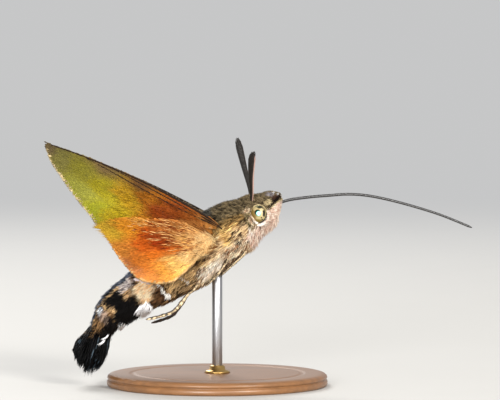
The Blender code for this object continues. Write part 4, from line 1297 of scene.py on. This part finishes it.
def makeSideTufts():
    finish = newFinish("tuft_hair", coatFinish)
    apart = sideTufts["bunch"]
    first, span = sideTufts["map"]
    parts = []
    for number, tuft in enumerate(sideTufts["tufts"]):
        stretch, turn, slant, n, length, lean, lift, thick, inks = tuft
        rng = np.random.default_rng(150 + number)
        t, angle = sowRoots(rng, n, stretch, turn)
        loose = 6 if n > 20 else 1.5  # a streak of a few hairs keeps together
        leans = lean + (angle - np.mean(turn)) * 0.7 + rng.normal(0, loose, n)
        t = t - slant * (angle - turn[0])
        # the tips close in points of their own length
        bunch = np.floor((angle - turn[0]) / apart)
        leans = leans + 2.4 * loose * (chance(bunch, number, 5) - 0.5)
        pull = 0.85 * ((bunch + 0.5) * apart + turn[0] - angle)
        both = np.concatenate([t, t]), np.concatenate([angle, -angle])
        size = np.tile(rng.uniform(*length, n) * (0.72 + 0.45 * chance(bunch, number, 6)), 2)
        top = np.tile(rng.uniform(*lift, n), 2)
        curl, gather = np.tile(rng.normal(0, loose, n), 2), (np.zeros(2 * n), np.concatenate([pull, -pull]))
        centres, outs, _ = layHair(both[0], both[1], np.tile(leans, 2), size, top, 3, curl, gather)
        dark, light = (linear(c) for c in sideTufts["inks"][inks])
        mix = np.tile(rng.uniform(0, 1, (n, 1)), (2, 1))
        # painted shade: each hair darker at its root
        tint = (dark + (light - dark) * mix)[:, None] * np.array([0.75, 1.0, 1.0, 1.0])[:, None]
        places = np.stack([(both[1] % 360) / 360, (both[0] - first) / span], -1)
        width = np.tile(thick * rng.uniform(0.6, 1.2, n), 2)
        parts.append(bladeMesh(centres, outs, width, 0.5, np.zeros(2 * n), np.clip(tint, 0, 1), places))
    builtPiece("abdomen_side_tufts", joined(parts), finish, "abdomen_coat")
    print("side tufts:", sum(2 * tuft[3] for tuft in sideTufts["tufts"]), "hairs")


# small dark marks over the long hair of both sides: station, angle, hairs, spread in stations and in degrees
sideSpots = {
    "marks": (
        (6.48, 107, 60, 0.07, 2.4), (6.82, 119, 50, 0.1, 1.8), (7.2, 103, 22, 0.12, 0.8),
        (7.5, 105, 12, 0.1, 0.8), (7.3, 130, 14, 0.2, 0.8), (8.2, 135, 16, 0.06, 1.6),
        (8.7, 172, 14, 0.06, 2.0), (8.65, 94, 10, 0.1, 1.0), (9.5, 117, 24, 0.14, 3.0),
        (9.6, 152, 16, 0.1, 2.0), (10.4, 152, 16, 0.1, 2.0), (9.2, 107, 14, 0.16, 1.6),
        (9.85, 122, 16, 0.14, 2.0), (6.1, 128, 10, 0.12, 1.0), (7.7, 152, 16, 0.2, 1.4),
        (6.9, 112, 14, 0.16, 0.8), (6.5, 116, 12, 0.14, 0.8), (7.0, 97, 12, 0.16, 0.8),
        (8.0, 122, 12, 0.16, 0.8), (8.4, 150, 14, 0.2, 1.0),
    ),
    "map": (5.3, 5.5),  # the station where the map starts and how many it spans
    "length": (0.35, 0.65),
    "lift": (0.16, 0.3),
    "width": 0.085,
    "inks": ((18, 11, 8), (58, 38, 26)),
}


def makeSideSpots():
    rng = np.random.default_rng(145)
    marks = np.array(sideSpots["marks"])
    marks = np.repeat(marks, marks[:, 2].astype(int), axis=0)
    n = len(marks)
    t = marks[:, 0] + rng.normal(0, 1, n) * marks[:, 3]
    angle = marks[:, 1] + rng.normal(0, 1, n) * marks[:, 4]
    lean = leanAt("thorax_coat_side", t, angle) + rng.normal(0, 7, n)
    t, lean, angle = np.tile(t, 2), np.tile(lean, 2), np.concatenate([angle, -angle])
    length, top = rng.uniform(*sideSpots["length"], 2 * n), rng.uniform(*sideSpots["lift"], 2 * n)
    centres, outs, _ = layHair(t, angle, lean, length, top, 3)
    dark, light = (linear(c) for c in sideSpots["inks"])
    inks = np.repeat((dark + (light - dark) * rng.uniform(0, 1, (2 * n, 1)))[:, None], 4, axis=1)
    first, span = sideSpots["map"]
    places = np.stack([(angle % 360) / 360, (t - first) / span], -1)
    width = sideSpots["width"] * rng.uniform(0.7, 1.3, 2 * n)
    built = bladeMesh(centres, outs, width, 0.5, np.zeros(2 * n), inks, places)
    builtPiece("thorax_side_spots", built, newFinish("spot_hair", coatFinish), "thorax_coat")
    print("side spots:", 2 * n, "hairs")


tailFan = {
    "stretch": (17.0, 18.8),
    "count": 2800,
    "width": 0.2,
    "end": 20.0,  # the station that the blades run towards
    # mm back from the root to where the blades would meet, in the side view and from behind
    "spread": (20.0, 8.0),
    # the fan's lower outline: x and height
    "outline": (
        (-17.3, 4.8), (-16.9, 3.5), (-16.4, 2.3), (-15.6, 1.3),
        (-14.8, 1.2), (-14.0, 1.7), (-13.1, 2.8), (-12.6, 4.6),
    ),
    "inks": ((1, 1, 1), (15, 16, 19)),
    "glint": (84, 100, 112),
    "finish": {**coatFinish, "gloss": (0.36, 0.55), "sockets": {"Specular IOR Level": 0.08}},
}


def makeTailFan():
    finish = newFinish("tail_blades", tailFan["finish"])
    rng = np.random.default_rng(170)
    n = tailFan["count"]
    t, angle = sowRoots(rng, n, tailFan["stretch"], (-180, 180))
    root, _, _, out = bodyFrame(t, angle)
    inner = rng.uniform(0, 1, (n, 1)) ** 0.5
    centre = (bodyAt(t, np.zeros(n)) + bodyAt(t, np.full(n, 180.0))) / 2
    root = centre + (root - centre) * (0.35 + 0.6 * inner)
    first, last = tailFan["stretch"]
    middle, end = ((bodyAt(at, 0.0) + bodyAt(at, 180.0)) / 2 for at in (first, tailFan["end"]))
    axis = unit(end - middle)
    off = root - middle
    off = off - axis * (off @ axis)[:, None]
    back, wide = tailFan["spread"]
    way = unit(axis + off / (back, wide, back) + rng.normal(0, 0.05, (n, 3)))
    # each blade runs on until it meets the fan's lower outline
    reach = np.linspace(0.6, 8, 150)
    track = root[:, None] + way[:, None] * reach[:, None]
    foot = np.interp(track[..., 0], *np.transpose(tailFan["outline"]))
    side = 1 - np.minimum(1, np.abs(track[..., 1]) / 3.1) ** 3
    # tips come in bunches of one length, so the fan's edge is ragged
    bunch = lumps(np.stack([off[:, 0] * 2.6, off[:, 1] * 1.8], -1), 1.0, 13)[:, None]
    stop = rng.uniform(0, 1, (n, 1)) ** 2 * 0.9 + bunch * 2.2 - 0.7 + (1 - side) * 1.2
    length = reach[np.argmax(track[..., 2] < foot + stop, axis=1)]
    share = np.linspace(0, 1, 5)
    sag = out * (rng.uniform(0.0, 0.35, (n, 1)) * inner)
    centres = rays(root, way, length, share)
    centres = centres + sag[:, None] * np.sin(share * math.pi)[:, None]
    outs = np.repeat(out[:, None], 5, axis=1)
    dark, light = (linear(c) for c in tailFan["inks"])
    ink = dark + (light - dark) * rng.uniform(0, 1, (n, 1)) ** 2
    ink = np.where(rng.uniform(0, 1, (n, 1)) < 0.07, linear(tailFan["glint"]) * 0.7, ink)
    # painted shade: each blade darker at its root and lighter towards its tip
    inks = ink[:, None] * np.array([0.6, 0.85, 1.0, 1.15, 1.2])[:, None]
    places = np.stack([(angle % 360) / 360, (t - first) / (last - first)], -1)
    width = tailFan["width"] * rng.uniform(0.6, 1.2, n)
    built = bladeMesh(centres, outs, width, 0.35, rng.normal(0, 0.5, n), inks, places)
    builtPiece("tail_fan_blades", built, finish, "tail_coat")
    print("tail fan:", n, "blades")


# the ring of hair round each eye, of three kinds: from behind the eye down and forward under it, a straight
# row that cuts the eye's lower back, and the lash
eyeRing = {
    "count": 1500,
    "length": (0.28, 0.5),
    "width": 0.06,
    "kinds": (0.55, 0.25, 0.2),  # the share of each
    # for each kind, degrees up from the front, how far out the roots are and how far the hairs lean out
    "turn": ((-200, 10), (-196, -112), (22, 168)),
    "reach": ((1.02, 1.22), (0.98, 1.12), (1.0, 1.07)),
    "lean": ((0.1, 0.8), (-0.25, 0.3), (-0.08, 0.1)),
}


def drawn(rng, kind, ranges):
    # a number for each hair out of the range of its kind
    return np.choose(kind, [rng.uniform(*ends, len(kind)) for ends in ranges])


def makeEyeRings():
    finish = newFinish("eye_ring_hair", coatFinish)
    parts = []
    middle = np.array(eyeShape["centre"])
    for side, sign in (("right", -1), ("left", 1)):
        rng = np.random.default_rng(190)
        n = eyeRing["count"]
        kind = rng.choice(3, n, p=eyeRing["kinds"])
        turn = drawn(rng, kind, eyeRing["turn"])
        phi = np.radians(turn)
        cut = 0.2 * np.exp(-(((turn + 152) / 30) ** 2)) * (kind == 1)
        reach = drawn(rng, kind, eyeRing["reach"]) - cut
        ring = np.stack([np.cos(phi), np.zeros(n), np.sin(phi)], -1)
        root = middle + ring * np.array(eyeShape["radii"]) * reach[:, None]
        deep = np.sqrt(1 - np.clip(reach, 0, 0.99) ** 2) * eyeShape["radii"][1]
        height = np.where(kind == 1, np.maximum(deep, 0.3) - 0.05, 0.12)
        root[:, 1] = middle[1] + height + 0.1 * rng.uniform(0, 1, n)
        along = np.stack([-np.sin(phi), np.zeros(n), np.cos(phi)], -1)
        along = along * np.where(kind == 2, -1, 1)[:, None]
        lean = drawn(rng, kind, eyeRing["lean"])
        way = unit(along + ring * lean[:, None])
        length = rng.uniform(*eyeRing["length"], n) * np.where(kind == 2, 0.9, 1.0)
        share = np.linspace(0, 1, 3)
        centres = rays(root, way, length, share)
        inward = middle - centres
        hug = np.where(kind == 0, 0.0, 0.16)[:, None, None] * (share**2)[:, None]
        centres = centres + inward * (1, 0, 1) * hug
        centres[..., 1] += 0.06 * np.sin(share * 2.6)
        dark, light = np.zeros((n, 3)), np.zeros((n, 3))
        dark, light = blot(dark, light, np.ones(n), "rim")
        dark, light = blot(dark, light, smoothStep((turn + 84) / 50) * 0.9, "blush")
        dark, light = blot(dark, light, (kind == 2) * 1.0, "buff")
        dark, light = blot(dark, light, smoothStep((-turn - 118) / 30) * 0.8, "cream")
        dark, light = blot(dark, light, smoothStep((-turn - 172) / 16) * 0.8, "nape")
        ink = dark + (light - dark) * rng.uniform(0, 1, (n, 1))
        # painted shade: each hair darker at its root
        inks = np.clip(ink[:, None] * np.array([0.75, 1.0, 1.0])[:, None], 0, 1)
        flip = np.array([1, sign, 1])
        outs = np.zeros((n, 3, 3)) + np.array([0, 1.0, 0])
        places = np.stack([0.25 + 0.08 * np.cos(phi) * reach, 0.2 + 0.08 * np.sin(phi) * reach], -1)
        if sign < 0:
            places[:, 0] += 0.5
        width = eyeRing["width"] * rng.uniform(0.7, 1.3, n)
        parts.append(bladeMesh(centres * flip, outs * flip, width, 0.5, np.zeros(n), inks, places))
    builtPiece("eye_ring_hair", joined(parts), finish, "head_coat")
    print("eye rings:", 2 * eyeRing["count"], "hairs")


legShape = {
    # stations and angles along each folded leg
    "foreleg": ((5.9, 120), (6.3, 140), (6.9, 157), (7.6, 161), (8.3, 162), (8.9, 162)),
    "midleg": ((7.2, 116), (7.7, 132), (8.3, 141), (8.9, 148), (9.4, 156), (9.8, 162)),
    "hindleg": ((8.5, 104), (9.0, 120), (9.5, 131), (10.0, 143), (10.4, 154), (10.8, 162)),
    "free": {
        "right": ((-5.0, 1.15, 8.95), (-6.7, 0.95, 8.25), (-8.4, 0.8, 7.85)),
        "left": ((-5.0, 1.15, 8.45), (-6.3, 1.0, 7.75), (-7.8, 0.85, 7.3)),
    },
    # mm over the coat line at each place
    "lift": {
        "foreleg": (-0.5, -0.2, 0.02, 0.1, 0.12, 0.14),
        "midleg": (-0.7, -0.45, -0.12, 0.06, 0.12, 0.14),
        "hindleg": (-0.8, -0.75, -0.55, -0.2, 0.02, 0.12),
    },
    "thick": (
        (0, 0.18), (0.12, 0.2), (0.34, 0.14), (0.36, 0.17), (0.6, 0.13), (0.63, 0.16), (0.66, 0.11), (0.96, 0.09),
        (1, 0.035),
    ),
    "beads": 21,  # pale patches along each leg
    "hairs": 700,
    "inks": {"edge": (46, 32, 24), "stripe": (236, 212, 172), "thigh": (176, 142, 106)},
    "finish": {
        "grain": 9000, "mottle": 0.22, "gloss": (0.4, 0.65), "relief": 0.3, "depth": 0.00001,
        "sockets": {"Specular IOR Level": 0.35},
    },
}


def makeLegs():
    finish = newFinish("leg", legShape["finish"])
    rng = np.random.default_rng(230)
    for side, sign in (("right", -1), ("left", 1)):
        for name in ("foreleg", "midleg", "hindleg"):
            rows = np.array(legShape[name], float)
            place, _, _, out = bodyFrame(rows[:, 0], -sign * rows[:, 1])
            points = place + out * np.array(legShape["lift"][name])[:, None]
            if name == "hindleg":
                points = np.concatenate([points, np.array(legShape["free"][side]) * (1, sign, 1)])
            rings, sides = 120, 12
            path = evenPath(points, rings)
            share = np.linspace(0, 1, rings)
            radius = np.interp(share, *np.transpose(legShape["thick"]))
            foot = share > 0.66
            if name == "hindleg":
                radius = radius * (1 + 0.75 * smoothStep((share - 0.45) / 0.2))
            radius = np.where(foot, radius * (1 + 0.12 * np.cos(share * 90)), radius)
            outward = (0, sign, -0.35)
            out = unit(np.array(outward))
            shape, faceSets, around = tubeMesh(path, radius, sides, outward)
            facing = np.sum(around.reshape(rings, sides, 3) * out, -1)
            bead = smoothStep(0.75 + np.sin(2 * math.pi * share * legShape["beads"]))[:, None]
            stripe = smoothStep((facing - 0.5) / 0.2) * (0.25 + 0.75 * bead)
            thigh = smoothStep((0.36 - share) / 0.06)[:, None]
            edge, pale, upper = (linear(legShape["inks"][k]) for k in ("edge", "stripe", "thigh"))
            inks = edge + (pale - edge) * stripe[..., None]
            inks = inks + (upper * (0.75 + 0.25 * stripe[..., None]) - inks) * thigh[..., None]
            bands = np.where(foot & (np.cos(share * 90) < -0.35), 0.45, 1.0)
            inks = (inks * bands[:, None, None]).reshape(-1, 3)
            caps = np.concatenate([inks, inks[:1], inks[-1:]])
            n = legShape["hairs"]
            ring = rng.integers(1, rings - 6, n)
            column = rng.integers(0, sides, n)
            pick = ring * sides + column
            away = around[pick]
            ways = unit(np.gradient(path, axis=0))
            start = path[ring] + away * (radius[ring] * 0.9)[:, None]
            length = rng.uniform(0.22, 0.42, n) * np.where(ring > 80, 0.7, 1.0)
            s = np.linspace(0, 1, 3)
            tilt = rng.uniform(0.02, 0.1, n)[:, None, None]
            centres = rays(start, ways[ring], length, s) + away[:, None] * tilt * s[:, None]
            outs = np.repeat(away[:, None], 3, axis=1)
            tint = np.repeat(np.clip(inks[pick] * rng.uniform(0.8, 1.3, (n, 1)), 0, 1)[:, None], 3, axis=1)
            hairs = bladeMesh(centres, outs, rng.uniform(0.05, 0.08, n), 0.4, np.zeros(n), tint)
            parts = [(shape, faceSets, caps), hairs]
            # two spurs at the end of the shin and two claws
            at = {"foreleg": (0.62,), "midleg": (0.62,), "hindleg": (0.48, 0.62)}[name]
            for where, long, thick in [(a, 0.75, 0.06) for a in at] + [(0.985, 0.16, 0.03)]:
                ring = int(where * (rings - 1))
                ahead = ways[ring]
                for lean in (-1, 1):
                    way = unit(ahead + lean * 0.28 * np.cross(ahead, out) + out * 0.1)
                    spur = path[ring] + way * long * np.linspace(0, 1, 8)[:, None]
                    thin = thick * np.linspace(1, 0.15, 8)
                    points, faceSets, _ = tubeMesh(spur, thin, 6, outward)
                    tone = pale * 0.6 if thick > 0.05 else edge * 0.5
                    parts.append((points, faceSets, np.tile(tone, (len(points), 1))))
            builtPiece(f"moth_{name}_{side}", joined(parts), finish, "leg", f"{name}_{side}")
    print("legs: six, with scales, spurs and claws")


standShape = {
    # half section of the base: distance from the middle and height
    "base": (
        (0.66, 0.66), (0.66, 1.46), (0.7, 1.5), (0.85, 1.5), (9.5, 1.5), (9.65, 1.49), (9.8, 1.43),
        (9.9, 1.42), (10.1, 1.42), (10.2, 1.43), (10.35, 1.49), (10.5, 1.5), (12.1, 1.5), (12.4, 1.48),
        (12.7, 1.4), (12.92, 1.22), (12.97, 1.0), (12.86, 0.88), (12.72, 0.82), (12.86, 0.74), (13.0, 0.6),
        (13.0, 0.25), (12.9, 0.08), (12.7, 0.0),
    ),
    "ferrule": (
        (0.62, 1.45), (1.5, 1.5), (1.5, 1.66), (1.3, 1.8), (0.98, 1.9), (0.88, 2.3), (0.7, 2.42), (0.61, 2.42),
    ),
    "rod": 0.6,
    "bevel": 0.05,  # mm, at the rod's ends
    "sides": {"base": 160, "rod": 48, "ferrule": 64},
    "wood": {
        "colour": (126, 86, 50), "grain": 1300, "mottle": 0.5, "gloss": (0.34, 0.52), "stretch": (0.07, 1, 1),
        "depth": 0.00003, "relief": 0.15, "sockets": {"Coat Weight": 0.25, "Coat Roughness": 0.2},
    },
    "steel": {
        "colour": (168, 169, 172), "grain": 3000, "mottle": 0.08, "gloss": (0.36, 0.5), "stretch": (1, 1, 0.05),
        "depth": 0.000006, "relief": 0.2, "sockets": {"Metallic": 1.0},
    },
    "brass": {
        "colour": (186, 152, 92), "grain": 3000, "mottle": 0.08, "gloss": (0.25, 0.4), "stretch": (0.3, 0.3, 1),
        "depth": 0.000006, "relief": 0.2, "sockets": {"Metallic": 1.0},
    },
}


def turned(section, sides):
    # a section turned round the upright axis
    rows = np.array(section)
    phi = np.linspace(0, 2 * math.pi, sides, endpoint=False)
    reach, height = rows[:, [0]], rows[:, [1]] * np.ones(sides)
    points = np.stack([reach * np.cos(phi), reach * np.sin(phi), height], -1)
    return points.reshape(-1, 3), ringFaces(len(rows), sides)


def turnedSolid(section, sides):
    # a turned section with a flat disc over each end
    points, faces = turned(section, sides)
    ends = [[0, 0, section[0][1]], [0, 0, section[-1][1]]]
    return np.concatenate([points, ends]), [faces, endFans(len(section), sides)]


def makeStand():
    points, faceSets = turnedSolid(standShape["base"], standShape["sides"]["base"])
    base = makePiece("display_base", points, faceSets, newFinish("turned_wood", standShape["wood"]))
    settle(base, "stand_base", "stand_base")
    low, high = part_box("stand_rod")
    rod, bevel = standShape["rod"], standShape["bevel"]
    bottom, top = low[2] / mm, high[2] / mm
    section = (
        (0.02, bottom), (rod - bevel, bottom), (rod, bottom + bevel),
        (rod, top - bevel), (rod - bevel, top), (0.02, top),
    )
    points, faceSets = turnedSolid(section, standShape["sides"]["rod"])
    middle = np.array([(low[0] + high[0]) / 2, (low[1] + high[1]) / 2, 0]) / mm
    steel = newFinish("brushed_steel", standShape["steel"])
    settle(makePiece("display_rod", points + middle, faceSets, steel), "stand_rod", "stand_rod")
    sides = standShape["sides"]["ferrule"]
    points, faces = turned(standShape["ferrule"], sides)
    last = len(points) - sides
    k = np.arange(sides)
    after = (k + 1) % sides
    closing = np.stack([last + k, last + after, after, k], -1)
    brass = newFinish("collar_brass", standShape["brass"])
    collar = makePiece("rod_collar", points + middle, [np.concatenate([faces, closing])], brass)
    settle(collar, "stand_rod")
    print("stand: base, rod and collar")


cameraPlace = {
    "target": (3.859, 0.0, 21.885),  # the photo's middle, in mm
    "distance": 400.0,
    "rise": 2.5,
    "lens": 244.8,
}

studio = {
    "key": {"place": (0.28, -0.44, 0.25), "size": 0.2, "power": 2.9, "colour": (1.0, 0.965, 0.91)},
    "fill": {"place": (-0.13, -0.45, 0.1), "size": 0.2, "power": 2.2, "colour": (1.0, 0.98, 0.95)},
    "back": {"place": (-0.16, 0.42, 0.36), "size": 0.26, "power": 2.0, "colour": (1.0, 0.98, 0.95)},
    "world": (0.86, 0.865, 0.87),
    "worldStrength": 0.66,
    "aim": (0, 0, 0.015),  # metres, where the lamps point
    "floor": (196, 195, 192),
    "floorReach": 3000,  # mm out to the floor's rim
    "floorSides": 96,
    "fade": (0.06, 0.55),  # metres from the stand between which the floor runs into the backdrop's tone
}


def aim(thing, target):
    way = Vector(np.array(target) - np.array(thing.location))
    thing.rotation_euler = way.to_track_quat("-Z", "Y").to_euler()


def makeStudio():
    target = np.array(cameraPlace["target"]) * mm
    rise = math.radians(cameraPlace["rise"])
    away = cameraPlace["distance"] * mm
    camera = bpy.data.objects.new("camera", bpy.data.cameras.new("camera"))
    camera.data.lens = cameraPlace["lens"]
    camera.data.sensor_width = 36
    camera.data.clip_start, camera.data.clip_end = 0.01, 20
    camera.location = target + np.array([0, -math.cos(rise), math.sin(rise)]) * away
    bpy.context.scene.collection.objects.link(camera)
    aim(camera, target)
    bpy.context.scene.camera = camera
    for name in ("key", "fill", "back"):
        light = studio[name]
        lamp = bpy.data.lights.new(name, "AREA")
        lamp.shape, lamp.size, lamp.energy = "DISK", light["size"], light["power"]
        lamp.color = light["colour"]
        holder = bpy.data.objects.new(name, lamp)
        holder.location = light["place"]
        bpy.context.scene.collection.objects.link(holder)
        aim(holder, studio["aim"])
    world = bpy.data.worlds.new("studio")
    world.use_nodes = True
    sky = world.node_tree.nodes["Background"]
    sky.inputs["Color"].default_value = (*studio["world"], 1)
    sky.inputs["Strength"].default_value = studio["worldStrength"]
    bpy.context.scene.world = world
    bpy.context.scene.view_settings.view_transform = "Standard"
    sides = studio["floorSides"]
    k = np.arange(sides)
    angles = np.linspace(0, 2 * math.pi, sides, endpoint=False)
    rim = studio["floorReach"] * np.stack([np.cos(angles), np.sin(angles), np.zeros(sides)], -1)
    fan = np.stack([np.full(sides, sides), k, (k + 1) % sides], -1)
    look = {"colour": studio["floor"], "grain": 60, "mottle": 0.02, "gloss": (0.6, 0.7), "depth": 0.00001}
    finish = newFinish("floor", look)
    tree = finish.node_tree
    place = tree.nodes.new("ShaderNodeTexCoord")
    reach = tree.nodes.new("ShaderNodeVectorMath")
    reach.operation = "LENGTH"
    fade = tree.nodes.new("ShaderNodeMapRange")
    fade.interpolation_type = "SMOOTHSTEP"
    fade.inputs["From Min"].default_value, fade.inputs["From Max"].default_value = studio["fade"]
    glow = tree.nodes.new("ShaderNodeEmission")
    glow.inputs["Color"].default_value = (*studio["world"], 1)
    glow.inputs["Strength"].default_value = studio["worldStrength"]
    mix = tree.nodes.new("ShaderNodeMixShader")
    tree.links.new(place.outputs["Object"], reach.inputs[0])
    tree.links.new(reach.outputs["Value"], fade.inputs["Value"])
    tree.links.new(fade.outputs["Result"], mix.inputs["Fac"])
    tree.links.new(tree.nodes["Principled BSDF"].outputs["BSDF"], mix.inputs[1])
    tree.links.new(glow.outputs["Emission"], mix.inputs[2])
    tree.links.new(mix.outputs["Shader"], tree.nodes["Material Output"].inputs["Surface"])
    floor = makePiece("floor", np.concatenate([rim, [[0, 0, 0]]]), [fan], finish)
    print("studio: camera, three lamps and the floor")


makeSkin()
growCoats()
makeEyeRings()
makeEyes()
makeAntennae()
makeProboscis()
makePlumes()
makeWings()
makeSideTufts()
makeSideSpots()
makeTailFan()
makeLegs()
makeStand()
makeStudio()
